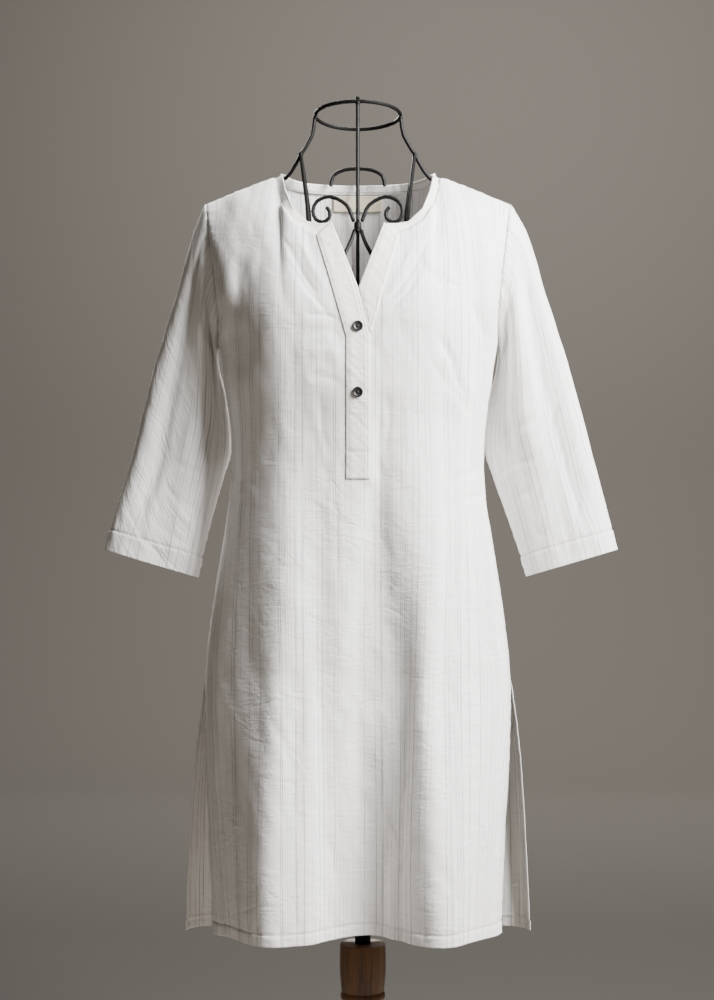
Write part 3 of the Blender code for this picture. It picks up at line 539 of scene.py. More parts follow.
class Cloth:
    """One piece of cloth, on a grid of points with rows upward and columns across."""

    def __init__(self, name, points, outward, finish, rise, wall=CLOTH_THICK, lift=LIFT, keep=None,
                 closed=False, grain=None, turned_grain=0, painted_shade=None, slot="cotton"):
        points = np.array(points, float) + (FORM_X, 0, 0)
        self.u, self.v = measure(points)
        self.wall = wall
        self.points = points + grid_normals(points, outward, closed) * (lift + rise)[..., None]
        self.normals = grid_normals(self.points, outward, closed)
        rows, columns = points.shape[:2]
        # The woven lines run up the cloth, or along it where the grain is turned.
        grain = self.u - self.u[:, columns // 2][:, None] if grain is None else grain
        flat = np.stack((grain, self.v), axis=2).reshape(-1, 2)
        if turned_grain:
            flat = flat[:, ::-1] + (turned_grain, 0)
        shape = bmesh.new()
        bmesh.ops.create_grid(shape, x_segments=columns - 1, y_segments=rows - 1, size=1, calc_uvs=True)
        shape.verts.ensure_lookup_table()
        for vert, co in zip(shape.verts, self.points.reshape(-1, 3)):
            vert.co = co
        layer = shape.loops.layers.uv.verify()
        # The seam layer holds painted shade: how much the colour is darkened along seams and stitches.
        seam = shape.verts.layers.float.new("seam")
        if painted_shade is not None:
            for vert, value in zip(shape.verts, np.array(painted_shade).reshape(-1)):
                vert[seam] = value
        for face in shape.faces:
            for loop in face.loops:
                loop[layer].uv = flat[loop.vert.index]
        # A slot or an opening is cut out face by face.
        if keep is not None:
            gone = [f for f in shape.faces
                    if not keep(min(v.index % columns for v in f.verts), min(v.index // columns for v in f.verts))]
            bmesh.ops.delete(shape, geom=gone, context="FACES")
        if closed:
            bmesh.ops.remove_doubles(shape, verts=shape.verts, dist=SAME_PLACE)
        self.piece = finished(name, shape, finish, slot)
        self.area = sum(polygon.area for polygon in self.piece.data.polygons)
        thick = self.piece.modifiers.new("Cloth thickness", "SOLIDIFY")
        thick.thickness = wall
        thick.offset = outward
        thick.use_even_offset = False

    def on(self, rows, columns):
        """Places on the outer face at arrays of grid rows and columns, and their normals."""
        rows, columns = np.broadcast_arrays(np.asarray(rows, float), np.asarray(columns, float))
        low_row = np.clip(rows.astype(int), 0, self.points.shape[0] - 2)
        low_column = np.clip(columns.astype(int), 0, self.points.shape[1] - 2)
        part_row = (rows - low_row)[:, None]
        part_column = (columns - low_column)[:, None]

        def blend(values):
            low, high = (mix(values[row, low_column], values[row, low_column + 1], part_column)
                         for row in (low_row, low_row + 1))
            return mix(low, high, part_row)
        normals = blend(self.normals)
        return blend(self.points) + normals * self.wall, normals

# %% [markdown]
# ## Front panel
# The front is one grid with a band of columns down its middle for the placket. Above
# the placket's foot those columns are left out. The cloth runs a few millimetres
# under the placket and the neck band, as a sewn seam does.

# %% Front panel
SIDE_COLUMNS, SLOT_COLUMNS, BACK_COLUMNS, LOW_COUNT, HIGH_COUNT = 68, 5, 72, 176, 84
SEAM_PART = NECK_SEAM_X / TIP_X


def hem_first(bottom, top, count, hem=0.020, steps=17):
    """Heights of the grid's rows, close together over the hem and even above it."""
    close = [bottom + hem * k / steps for k in range(steps)]
    return close + [mix(bottom + hem, top, k / (count - steps)) for k in range(count - steps + 1)]


def closer(part):
    """Sets columns closer together towards the side seam."""
    return 1 - (1 - part) ** 1.3


def slot_across(up):
    """How far across the slot's edge lies on the upper front."""
    def beyond(across):
        point = high_point(FRONT, across, up)
        return point.x - slot_half(point.z)
    return find_root(beyond, 0.02, 0.6)


def spread(part, start, knee=0.55):
    """Columns from start to the side, with one exactly at the neck seam's corner."""
    if part <= knee:
        return mix(start, SEAM_PART, part / knee)
    return mix(SEAM_PART, 1, (part - knee) / (1 - knee))


def seam_up(across, tucked=0.0):
    """How far up the front meets the neck seam, or goes on under the neck band by the length tucked."""
    def above(up):
        point = high_point(FRONT, across, up)
        return point.z - curve_height(NECK_SEAM, point.x) - tucked
    return find_root(above, 0.2, 1) if NECK_SEAM_X - abs(across) * TIP_X > 1e-5 else 1.0


def front_end(across):
    """How far up the front reaches: just under the neck band, or to the shoulder."""
    return seam_up(across, UNDERLAP * smooth((NECK_SEAM_X - abs(across) * TIP_X) / 0.004))


SLOT_UP = find_root(lambda up: high_point(FRONT, slot_across(up), up).z - PLACKET_TOP[1], 0.02, 0.98)
low_rows = hem_first(FRONT_HEM, ARMPIT_Z, LOW_COUNT)
high_rows = [k / HIGH_COUNT for k in range(1, HIGH_COUNT + 1)]
parts = [closer(k / SIDE_COLUMNS) for k in range(SIDE_COLUMNS + 1)]
slot_line = [slot_across(up * SLOT_UP) for up in high_rows]
tops = [(across, front_end(across)) for across in (spread(part, slot_line[-1]) for part in parts)]


def front_place(index, row):
    """The front at a column counted from the middle, and a row counted from the hem."""
    sign = -1 if index < 0 else 1
    index = abs(index)
    if row <= LOW_COUNT:
        z = low_rows[row]
        slot = (slot_half(z) - UNDERLAP) / read(SECTIONS[FRONT], z)[0]
        if index <= SLOT_COLUMNS:
            return low_point(FRONT, sign * slot * index / SLOT_COLUMNS, z)
        return low_point(FRONT, sign * mix(slot, 1, parts[index - SLOT_COLUMNS]), z)
    step = row - LOW_COUNT - 1
    up = high_rows[step]
    inner = slot_line[step] - UNDERLAP / TIP_X
    if index <= SLOT_COLUMNS:
        return high_point(FRONT, sign * inner * index / SLOT_COLUMNS, up * tops[0][1])
    part = parts[index - SLOT_COLUMNS]
    end_across, end_up = tops[index - SLOT_COLUMNS]
    end_part = (end_across - slot_line[-1]) / (1 - slot_line[-1])
    return high_point(FRONT, sign * mix(inner, 1, mix(part, end_part, up)), up * end_up)


reach = SIDE_COLUMNS + SLOT_COLUMNS
front_points = np.array([[front_place(i, j) for i in range(-reach, reach + 1)]
                         for j in range(LOW_COUNT + HIGH_COUNT + 1)])
print("front grid:", front_points.shape)

# %% [markdown]
# ## Edges, seams and small waves
# The listed folds fade out where another piece is sewn on. A turned hem is a little
# thicker, its stitch line pulls a small groove, and the thread puckers the cloth.

# %% Edge helpers
CRUMPLE = random.Random(11)
WAVES = [(CRUMPLE.uniform(60, 330), CRUMPLE.uniform(-150, 150), CRUMPLE.uniform(0, 6.3), CRUMPLE.uniform(0.4, 1))
         for _ in range(26)]
PUCKERS = [(CRUMPLE.uniform(260, 620), CRUMPLE.uniform(0, 6.3), CRUMPLE.uniform(0.4, 1)) for _ in range(7)]


def settle(rise, floor=0.0048):
    """Troughs flatten out before they reach the wires behind the cloth."""
    return np.where(rise < 0, -floor * np.tanh(-rise / floor), rise)


def ease(values):
    """The same easing as smooth, on arrays."""
    t = np.clip(values, 0, 1)
    return t * t * (3 - 2 * t)


def bell(distance, place=0.0, width=0.0016):
    """A round ridge 1 high at a place. Its own width is that of the shade along a stitch line."""
    return np.exp(-((distance - place) / width) ** 2)


def crumple(across, up):
    """Very shallow waves that no cloth is without."""
    total = sum(size * 60 / (60 + abs(fx)) * np.sin(fx * across + fz * up + phase) for fx, fz, phase, size in WAVES)
    return 0.00034 * total


def pucker(travel):
    return sum(size * np.sin(rate * travel + phase) for rate, phase, size in PUCKERS) / 4


def hem_rise(distance, travel, depth=HEM_STITCH):
    """A turned edge: doubled cloth, a groove at the stitches and puckers beside it."""
    doubled = 0.00070 * (1 - ease((distance - depth + 0.0015) / 0.0025))
    return doubled - 0.00085 * bell(distance, depth, 0.0017) + 0.00080 * pucker(travel) * bell(distance, depth, 0.009)


def seam_rise(distance, travel):
    """A seam: the cloth dips into it and puckers beside it."""
    return 0.0006 * pucker(travel) * bell(distance, 0.006, 0.006) - 0.0012 * bell(distance, 0, 0.0032)


def gaps_of(points):
    """Metres along and up, then metres to the nearer side and to the top."""
    u, v = measure(points)
    return u, v, np.minimum(u, u[:, -1:] - u), v[-1] - v


def panel_grain(points):
    """The woven lines hang straight down in the middle, and run along the seams beside them."""
    u, _, side_gap, _ = gaps_of(points)
    x, centre = points[..., 0], u[:, u.shape[1] // 2][:, None]
    half = np.where(x < 0, centre, u[:, -1:] - centre)
    beside = ease((np.abs(u - centre) / half - 0.55) / 0.45)
    return np.sign(x) * mix(np.abs(x), half.mean() - side_gap, beside)


def panel_painted_shade(points):
    """Painted shade along the stitch lines of the hem and the slits, and along the seams above them."""
    _, v, side_gap, top_gap = gaps_of(points)
    below = ease((SLIT_Z + 0.006 - points[..., 2]) / 0.012)
    stitch_shade = np.maximum(bell(v, HEM_STITCH), below * bell(side_gap, SLIT_STITCH))
    seams = np.maximum(bell(side_gap, 0, SEAM_SHADE), bell(top_gap, 0, SEAM_SHADE))
    return np.maximum(stitch_shade, (1 - below) * seams)


def panel_rise(points, creases, slot):
    """Everything that lifts or sinks one body panel."""
    _, v, side_gap, top_gap = gaps_of(points)
    x, z = points[..., 0], points[..., 2]
    sewn = ease(side_gap / 0.012) * ease(top_gap / 0.012)
    below = ease((SLIT_Z + 0.006 - z) / 0.03)
    hold = mix(sewn, 1, below)
    if slot:
        gap = np.hypot(np.maximum(np.abs(x) - slot_half(z), 0), np.maximum(PLACKET_FOOT_Z - z, 0))
        hold = hold * ease(gap / 0.012)
    edges = (1 - below) * (seam_rise(side_gap, z) + seam_rise(top_gap, x))
    edges += below * hem_rise(side_gap, z, SLIT_STITCH) + hem_rise(v, x)
    return hold * (settle(crease_rise(x, z, creases)) + crumple(x, z)) + edges

# %% [markdown]
# ## Materials
# The cotton is white with uneven groups of fine grey woven lines. The lines follow the
# cloth's own metres, and the weave is a bump too fine to count. One shared node group
# makes the line mask, the tint, painted shade along seams and stitches, and the height,
# and each cotton material reads it.

# %% Materials
def feed(tree, socket, value):
    """Gives a socket its own value, or links it to an output."""
    if isinstance(value, bpy.types.NodeSocket):
        tree.links.new(value, socket)
    elif value is not None:
        socket.default_value = value


def value_node(tree, operation, first, second=None, clamp=False):
    """One sum on values or outputs."""
    node = tree.nodes.new("ShaderNodeMath")
    node.operation, node.use_clamp = operation, clamp
    for socket, value in zip(node.inputs, (first, second)):
        feed(tree, socket, value)
    return node.outputs[0]


def times(tree, *values):
    """The product of some values or outputs."""
    product = values[0]
    for value in values[1:]:
        product = value_node(tree, "MULTIPLY", product, value)
    return product


def coords_of(tree, kind="Object"):
    """The object's own metres, or with "UV" the cloth's."""
    return tree.nodes.new("ShaderNodeTexCoord").outputs[kind]


def noise_of(tree, vector, scale, detail, roughness=0.5, bent=0.0):
    """A cloud of noise, from 0 to 1 round a half."""
    node = tree.nodes.new("ShaderNodeTexNoise")
    for name, value in (("Vector", vector), ("Scale", scale), ("Detail", detail), ("Roughness", roughness),
                        ("Distortion", bent)):
        feed(tree, node.inputs[name], value)
    return node.outputs["Fac"]


def stretched(tree, vector, scale):
    """Places with each axis scaled on its own."""
    node = tree.nodes.new("ShaderNodeVectorMath")
    node.operation = "MULTIPLY"
    feed(tree, node.inputs[0], vector)
    feed(tree, node.inputs[1], scale)
    return node.outputs["Vector"]


def mixed(tree, blend, factor, first, second):
    """Two colours blended, or one multiplied by the other."""
    node = tree.nodes.new("ShaderNodeMix")
    node.data_type, node.blend_type = "RGBA", blend
    for name, value in (("Factor", factor), ("A", first), ("B", second)):
        feed(tree, node.inputs[name], value)
    return node.outputs["Result"]


def ramp_of(tree, value, *stops):
    """A ramp through stops of (place, colour). A colour of one number is a grey."""
    node = tree.nodes.new("ShaderNodeValToRGB")
    while len(node.color_ramp.elements) < len(stops):
        node.color_ramp.elements.new(0.5)
    for element, (place, colour) in zip(node.color_ramp.elements, stops):
        element.position = place
        element.color = (*colour, 1) if isinstance(colour, tuple) else (colour, colour, colour, 1)
    feed(tree, node.inputs["Fac"], value)
    return node.outputs["Color"]


def lines_of(tree, across, count, width, least):
    """Thin lines at uneven places, each with its own strength."""
    cells = tree.nodes.new("ShaderNodeTexVoronoi")
    cells.voronoi_dimensions = "1D"
    feed(tree, cells.inputs["Scale"], count)
    feed(tree, cells.inputs["W"], across)
    near = ramp_of(tree, times(tree, cells.outputs["Distance"], 1 / count / width), (0.35, 1), (1.0, 0))
    return times(tree, near, ramp_of(tree, cells.outputs["Color"], (least, 0), (least + 0.45, 1)))


def make_weave_group():
    """Colour and height of the cotton, from cloth metres."""
    group = bpy.data.node_groups.new("Slub cotton", "ShaderNodeTree")
    for name, way, kind in (("Cloth", "INPUT", "Vector"), ("Seam", "INPUT", "Float"),
                            ("Colour", "OUTPUT", "Color"), ("Height", "OUTPUT", "Float")):
        group.interface.new_socket(name, in_out=way, socket_type="NodeSocket" + kind)
    enter, leave = group.nodes.new("NodeGroupInput"), group.nodes.new("NodeGroupOutput")
    cloth = enter.outputs["Cloth"]
    split = group.nodes.new("ShaderNodeSeparateXYZ")
    feed(group, split.inputs[0], cloth)

    lines, ramp, product, value = (partial(helper, group) for helper in (lines_of, ramp_of, times, value_node))

    def noise(stretch, *looks):
        return noise_of(group, stretched(group, cloth, stretch), 1, *looks)

    # The warp lines wander, and each kind of them is broken up along its length.
    across = value("ADD", split.outputs["X"], product(noise((9, 7, 0), 2), 0.0016))
    broken, bands = noise((260, 13, 0), 3, 0.6), noise((34, 0.3, 0), 2)
    strong = product(lines(across, 140, 0.00066, 0.12), ramp(broken, (0.34, 0.32), (0.56, 1)))
    close = product(lines(across, 500, 0.00046, 0.24), ramp(bands, (0.44, 0.20), (0.56, 0.90)),
                    ramp(broken, (0.40, 0.15), (0.58, 1)))
    weft = product(ramp(noise((45, 620, 0), 2, 0.6), (0.50, 0), (0.70, 1)), 0.22)
    soft = value("ADD", product(lines(across, 46, 0.0030, 0.40), 0.20),
                 product(ramp(bands, (0.42, 0), (0.58, 1)), 0.08))
    mask = value("ADD", value("MAXIMUM", value("MAXIMUM", strong, close), weft), soft, clamp=True)
    colour = mixed(group, "MIX", product(mask, 0.92), (0.895, 0.876, 0.864, 1), (0.36, 0.355, 0.36, 1))
    # Painted shade: the seam input darkens the colour along seams and stitch lines, and over the armhole turnings.
    seam = value("MULTIPLY", enter.outputs["Seam"], 0.45, clamp=True)
    feed(group, leave.inputs["Colour"], mixed(group, "MULTIPLY", seam, colour, (0.62, 0.60, 0.58, 1)))
    # Fine crinkles are ridged noise, deeper in some places than in others.
    height = product(mask, 0.00006)
    where = product(ramp(noise_of(group, cloth, 14, 2), (0.36, 0.35), (0.62, 1)),
                    ramp(split.outputs["Y"], (0.46, 1), (0.60, 0.55)))
    for stretch, tall in (((24, 32, 0), 0.0032), ((34, 110, 0), 0.0014), ((140, 90, 0), 0.0007),
                          ((110, 420, 0), 0.00030)):
        ridge = value("ABSOLUTE", value("SUBTRACT", noise(stretch, 2, 0.5, 0.7), 0.5))
        height = value("ADD", height, product(ridge, tall, where))
    for thread_stretch in ((2300, 240, 0), (240, 2300, 0)):
        height = value("ADD", height, product(noise(thread_stretch, 1), 0.00010))
    feed(group, leave.inputs["Height"], height)
    return group


def plain(name, colour, roughness, **looks):
    """A material with its tree and its shader. Further looks are named with _ for a space."""
    finish = bpy.data.materials.new(name)
    finish.use_nodes = True
    shader = finish.node_tree.nodes["Principled BSDF"]
    for look, value in {"Base_Color": (*colour, 1), "Roughness": roughness, **looks}.items():
        shader.inputs[look.replace("_", " ")].default_value = value
    return finish, finish.node_tree, shader


def bump_into(tree, shader, height):
    """A height in metres, as the shader's bump."""
    bump = tree.nodes.new("ShaderNodeBump")
    for name, value in (("Distance", 1.0), ("Strength", 1.0), ("Height", height)):
        feed(tree, bump.inputs[name], value)
    feed(tree, shader.inputs["Normal"], bump.outputs["Normal"])


def speckled(name, colour, roughness, scale, contrast=0.12):
    """A small part's finish: its colour and height waver from place to place."""
    finish, tree, shader = plain(name, colour, roughness)
    noise = noise_of(tree, coords_of(tree), scale, 3, 0.6)
    dim, bright = (tuple(min(part * (1 + way * contrast), 1) for part in colour) for way in (-1, 1))
    feed(tree, shader.inputs["Base Color"], ramp_of(tree, noise, (0.35, dim), (0.65, bright)))
    bump_into(tree, shader, times(tree, noise, 0.00002))
    return finish


weave_group = make_weave_group()


def make_cotton(name, tint):
    """A cotton that reads the weave from its cloth's metres, and the shade of its seams."""
    finish, tree, shader = plain(name, (0.8, 0.79, 0.78), 0.86, Sheen_Weight=0.25, Sheen_Roughness=0.5)
    weave = tree.nodes.new("ShaderNodeGroup")
    weave.node_tree = weave_group
    # The seam attribute is painted shade along seams and stitches.
    seam = tree.nodes.new("ShaderNodeAttribute")
    seam.attribute_name = "seam"
    feed(tree, weave.inputs["Cloth"], coords_of(tree, "UV"))
    feed(tree, weave.inputs["Seam"], seam.outputs["Fac"])
    feed(tree, shader.inputs["Base Color"], mixed(tree, "MULTIPLY", 1, weave.outputs["Colour"], (*tint, 1)))
    bump_into(tree, shader, weave.outputs["Height"])
    return finish


cotton = make_cotton("White slub cotton", (1, 1, 1))
band_cotton = make_cotton("White band cotton", (1.0, 0.99, 0.975))
thread = speckled("White thread", (0.70, 0.68, 0.65), 0.7, 1800, 0.18)
print("materials made:", [m.name for m in bpy.data.materials][:8])

# %% [markdown]
# ## Front and back cloth
# The two panels share their side and shoulder seams, so the creases fade there.

# %% Front and back
def outside_slot(column, row):
    """Whether a face of the front lies clear of the placket's slot."""
    return low_rows[min(row, LOW_COUNT)] < PLACKET_FOOT_Z + UNDERLAP - 0.003 \
        or not reach - SLOT_COLUMNS <= column < reach + SLOT_COLUMNS


front = Cloth("front_cloth", front_points, 1, cotton, panel_rise(front_points, FRONT_CREASES, True),
              keep=outside_slot, grain=panel_grain(front_points), painted_shade=panel_painted_shade(front_points))
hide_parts("front_panel")


def back_end(across, short=0.068):
    """How far up the back reaches: to the neck seam, or under the band where it stops less short."""
    return 1 - short * smooth((NECK_SEAM_X - abs(across) * TIP_X) / 0.018)


def back_place(part, row):
    """The back at a part of its half width, and a row counted from the hem."""
    across = math.copysign(spread(abs(part), 0, 0.50), part)
    if row <= LOW_COUNT:
        return low_point(BACK, across, back_rows[row])
    return high_point(BACK, across, high_rows[row - LOW_COUNT - 1] * back_end(across, 0.048))


back_rows = hem_first(BACK_HEM, ARMPIT_Z, LOW_COUNT)
back_parts = [math.copysign(closer(abs(k) / BACK_COLUMNS), k) for k in range(-BACK_COLUMNS, BACK_COLUMNS + 1)]
back_points = np.array([[back_place(part, j) for part in back_parts] for j in range(LOW_COUNT + HIGH_COUNT + 1)])
back = Cloth("back_cloth", back_points, -1, cotton, panel_rise(back_points, BACK_CREASES, False),
             grain=panel_grain(back_points), painted_shade=panel_painted_shade(back_points))
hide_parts("back_panel")
print("front and back:", round(front.area, 3), round(back.area, 3), "square metres")

# %% [markdown]
# ## Sleeves
# Each sleeve is a tube whose top ring follows the armhole. Its creases are placed by
# degrees round it and millimetres down it, with drags under the arm and at the elbow.

# %% Sleeves
# Columns round, rows down to the cuff's hem, rows over it, and the part of the length where it starts.
AROUND, DOWN, CUFF_ROWS, CUFF_START = 112, 104, 28, 0.92
SLEEVE_PARTS = [CUFF_START * k / DOWN for k in range(DOWN)] \
    + [mix(CUFF_START, 1, k / CUFF_ROWS) for k in range(CUFF_ROWS + 1)]
SLEEVE_ANGLES = [(180 + 360 * i / AROUND) % 360 for i in range(AROUND + 1)]


def sleeve_point(table, sign, angle, part):
    """The sleeve's inner face at degrees round it and a part of its length."""
    outer_x, outer_z, inner_x, inner_y, inner_z, deep = read(table, part)
    outer = Vector((sign * outer_x, SHOULDER_Y * (1 - part), outer_z))
    inner = Vector((sign * inner_x, inner_y, inner_z))
    middle, reach = (outer + inner) / 2, (outer - inner) / 2
    bend = math.radians(angle)
    fold = 0.0
    for top, foot, start, end, half_width, rise in SLEEVE_FOLDS:
        away = (angle - mix(top, foot, part) + 180) % 360 - 180
        window = smooth((part - start) / 0.15) * smooth((end - part) / 0.2)
        fold += rise * window * math.exp(-(away / half_width) ** 2)
    scale = 1 + fold / deep
    return middle + (reach * math.cos(bend) - Vector((0, deep, 0)) * math.sin(bend)) * scale


def sleeve_grid(table, sign):
    """The sleeve's places, its top ring moved onto the armhole and the shift fading down."""
    ring = []
    for angle in SLEEVE_ANGLES:
        low = 1 - abs(angle - 180) / 180
        root = high_point(FRONT if angle <= 180 else BACK, sign, abs(180 - angle) / 180)
        # The ring stands clear of the body, most of all under the arm.
        root = root + Vector((sign * (0.0002 + 0.0012 * smooth((low - 0.02) / 0.60)), 0, 0))
        ring.append((angle, root - sleeve_point(table, sign, angle, 0)))
    rows = []
    for part in SLEEVE_PARTS:
        fade = max(1 - part / 0.34, 0) ** 2
        rows.append([sleeve_point(table, sign, angle, part) + shift * fade for angle, shift in ring])
    return np.array(rows)


def sleeve_painted_shade(points):
    """Shade along the cuff's stitches and in the armhole."""
    _, v = measure(points)
    return np.maximum(bell(v[-1] - v, CUFF_STITCH), bell(v, 0, SEAM_SHADE))


def sleeve_rise(points, creases):
    """Everything that lifts or sinks a sleeve: creases, waves, both seams and the cuff."""
    _, v = measure(points)
    degrees = np.array(SLEEVE_ANGLES)[None, :] + np.zeros_like(v)
    table = [(rise, width, lean, *((angle * SLEEVE_ARC * 1000, down) for angle, down in line))
             for rise, width, lean, *line in creases]
    across, down, cuff_gap = degrees * SLEEVE_ARC, v * SLEEVE_LENGTH / v[-1].mean(), v[-1] - v
    waves = crumple(np.cos(np.radians(degrees)) * 0.07, down)
    under_arm = np.abs(degrees - 180) * SLEEVE_ARC
    lines = settle(crease_rise(across, down, table)) * (0.45 + 0.55 * ease(cuff_gap / 0.03))
    return (lines + waves) * ease(v / 0.014) + seam_rise(v, across) + seam_rise(under_arm, down) * ease(v / 0.02) \
        + hem_rise(cuff_gap, across, CUFF_STITCH)


def sleeve(name, points, sign, creases, grain_start):
    """A sleeve's cloth, its woven lines closer together towards the cuff."""
    girth = mix(0.33, 0.27, np.array(SLEEVE_PARTS))[:, None]
    return Cloth(name, points, sign, cotton, sleeve_rise(points, creases), closed=True,
                 grain=girth * np.linspace(-0.5, 0.5, AROUND + 1) + grain_start, painted_shade=sleeve_painted_shade(points))


right_points, left_points = sleeve_grid(RIGHT_SLEEVE, 1), sleeve_grid(LEFT_SLEEVE, -1)
right = sleeve("sleeve_right_cloth", right_points, 1, RIGHT_CREASES, 0.5)
left = sleeve("sleeve_left_cloth", left_points, -1, LEFT_CREASES, 1.0)


def armhole_turning(name, points, sign):
    """The seam allowance behind an armhole: it closes the crack between sleeve and body, and its colour is darkened
    all over with painted shade.
    """
    inward = (points[0].mean(axis=0) - points[0]) * (0, 1, 1)
    inward /= np.linalg.norm(inward, axis=1, keepdims=True)
    down = points[3] - points[0]
    down /= np.linalg.norm(down, axis=1, keepdims=True)
    body = np.array((-sign, 0, 0))
    rows = points[0] + np.array([inward * 0.0034 + body * 0.008, inward * 0.0030 + body * 0.004,
                                 inward * 0.0028 + body * 0.001, inward * 0.0028 + down * 0.003])
    return Cloth(name, rows, sign, cotton, np.zeros(rows.shape[:2]), closed=True, painted_shade=np.ones(rows.shape[:2]))


right_turning = armhole_turning("sleeve_right_turning", right_points, 1)
left_turning = armhole_turning("sleeve_left_turning", left_points, -1)
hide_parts("sleeve_right")
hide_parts("sleeve_left")
print("sleeves:", round(right.area, 3), round(left.area, 3), "square metres")

# %% [markdown]
# ## Plackets, neck band and label
# The upper placket crosses the chest and runs up one side of the V. The other side has
# a short placket of its own. The band rings the neck, and a bare label hangs inside.

# %% Plackets and band
def finer(values, count):
    """A smooth curve of more values through a few."""
    t = np.linspace(0, len(values) - 1, count)
    i = np.clip(t.astype(int), 0, len(values) - 2)
    f = t - i
    a, b, c, d = (values[np.clip(i + k, 0, len(values) - 1)] for k in (-1, 0, 1, 2))
    return 0.5 * (2 * b + (c - a) * f + (2 * a - 5 * b + 4 * c - d) * f**2 + (3 * b - a - 3 * c + d) * f**3)


def strip_grid(first, second, rows, columns, few=30):
    """A band between two curves of (half width, height), laid on the front."""
    def places(j, count, part):
        return [mix(a, b, part) for a, b in zip(first(j / (count - 1)), second(j / (count - 1)))]

    # The depth is found on a coarse grid, 5 places wide, and made finer.
    depths = [finer(np.array([front_at(*places(j, few, k / 4)).y for j in range(few)]), rows) for k in range(5)]
    points = np.zeros((rows, columns, 3))
    for j, depth in enumerate(np.array(depths).T):
        points[j, :, 0], points[j, :, 2] = places(j, rows, np.linspace(0, 1, columns))
        points[j, :, 1] = finer(depth, columns)
    return points


def two_part(foot, joint, *rest, at=0.55):
    """A line whose joint is reached at the same part of its length on either edge."""
    lower, upper = walk((foot, joint)), walk((joint, *rest))
    return lambda part: lower(part / at) if part < at else upper((part - at) / (1 - at))


def strip_painted_shade(points, box=False):
    """Painted shade along the stitches near both edges, and across the foot of the long placket."""
    _, v, side_gap, _ = gaps_of(points)
    stitch_shade = bell(side_gap, EDGE_GROOVE, EDGE_SHADE)
    return np.maximum(stitch_shade, bell(v, BOX_STITCH, 0.0014)) if box else stitch_shade


def strip_rise(points, box=False):
    """The edges fall away, the stitches sink in, and the thread puckers a little."""
    u, v, side_gap, top_gap = gaps_of(points)
    fall = 0.00045 * bell(side_gap, 0, 0.0011) + 0.00030 * bell(np.minimum(v, top_gap), 0, 0.0011)
    groove = 0.00050 * bell(side_gap, EDGE_GROOVE, 0.0010) + 0.00060 * bell(v, BOX_STITCH) * box
    return 0.00020 * pucker(v + u) - fall - groove


# The edges of both plackets, a seam's gap inside those of the slot and the V.
half = PLACKET_HALF - SEAM_GAP
outer_top = (SEAM_GAP - PLACKET_TOP[0], PLACKET_TOP[1] - SEAM_GAP)
top_left = two_part((-half, PLACKET_FOOT_Z + SEAM_GAP), (-half, PLACKET_OPEN_Z), outer_top)
top_right = two_part((half, PLACKET_FOOT_Z + SEAM_GAP), (half, PLACKET_OPEN_Z), (0, V_FOOT_Z),
                     (SEAM_GAP - V_TOP[0], V_TOP[1] - SEAM_GAP))
start_z, parting = PLACKET_OPEN_Z + 0.006, 2 * SEAM_GAP
first_x = mix(half, 0, (start_z - PLACKET_OPEN_Z) / (V_FOOT_Z - PLACKET_OPEN_Z)) + parting
under_left = walk(((first_x, start_z), (parting, V_FOOT_Z), (V_TOP[0] - SEAM_GAP, V_TOP[1] - SEAM_GAP)))
under_right = walk(((slot_half(start_z) - SEAM_GAP, start_z),
                    (PLACKET_TOP[0] - SEAM_GAP, PLACKET_TOP[1] - SEAM_GAP)))
RAISED = LIFT + CLOTH_THICK + 0.0001
TOP_ROWS, TOP_COLUMNS = 190, 25
top_points = strip_grid(top_left, top_right, TOP_ROWS, TOP_COLUMNS)
placket_top = Cloth("placket_top_cloth", top_points, 1, band_cotton, strip_rise(top_points, True), BAND_THICK,
                    RAISED, painted_shade=strip_painted_shade(top_points, True))
under_points = strip_grid(under_left, under_right, 90, 17)
placket_under = Cloth("placket_under_cloth", under_points, 1, band_cotton, strip_rise(under_points),
                      BAND_THICK - 0.0002, RAISED, painted_shade=strip_painted_shade(under_points))
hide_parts("placket_top")
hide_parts("placket_under")


def band_grid(rows=11):
    """The neck band: from one placket round the back to the other."""
    edge = walk(NECKLINE)
    start = slot_across(SLOT_UP)
    ring = []
    for t in np.linspace(0, 1, 41):
        across, (x, z) = mix(start, SEAM_PART, t), edge(t)
        ring.append((high_point(FRONT, across, seam_up(across)), front_at(x, min(z, NECK_Z - 0.0005))))
    ring[-1][1].y = SHOULDER_Y
    for t in np.linspace(1, 0, 61)[1:]:
        across, end = SEAM_PART * t, back_end(SEAM_PART * t)
        outer = high_point(BACK, across, end)
        rise = (outer - high_point(BACK, across, end - 0.05)).normalized() * 0.0115
        side = Vector((NECK_X * t, SHOULDER_Y + 0.002, NECK_Z + 0.001))
        ring.append((outer, (outer + rise).lerp(side, t ** 6)))
    mirror = Vector((-1, 1, 1))
    ring += [(mirror * a, mirror * b) for a, b in ring[-2::-1]]
    points = np.array([[outer.lerp(inner, j / (rows - 1)) for outer, inner in ring] for j in range(rows)])
    # Both ends stop just short of the plackets.
    for end in (0, -1):
        points[:, end] += np.stack((np.copysign(SEAM_GAP, points[:, end, 0]), np.zeros(rows),
                                    np.full(rows, SEAM_GAP)), axis=1) * 0.6
    return points


band_points = band_grid()
band_u, band_v, _, band_top = gaps_of(band_points)
band_gap = np.minimum(band_v, band_top)
band_rise = 0.00010 * pucker(band_u) - 0.0004 * bell(band_gap, 0, 0.0010) \
    - 0.00028 * bell(band_gap, EDGE_STITCH, 0.0008)
# Painted shade along the band's stitch lines.
band = Cloth("neck_band_cloth", band_points, -1, band_cotton, band_rise, BAND_THICK, RAISED, turned_grain=0.3,
             painted_shade=bell(band_gap, EDGE_GROOVE, EDGE_SHADE))
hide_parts("neck_band")

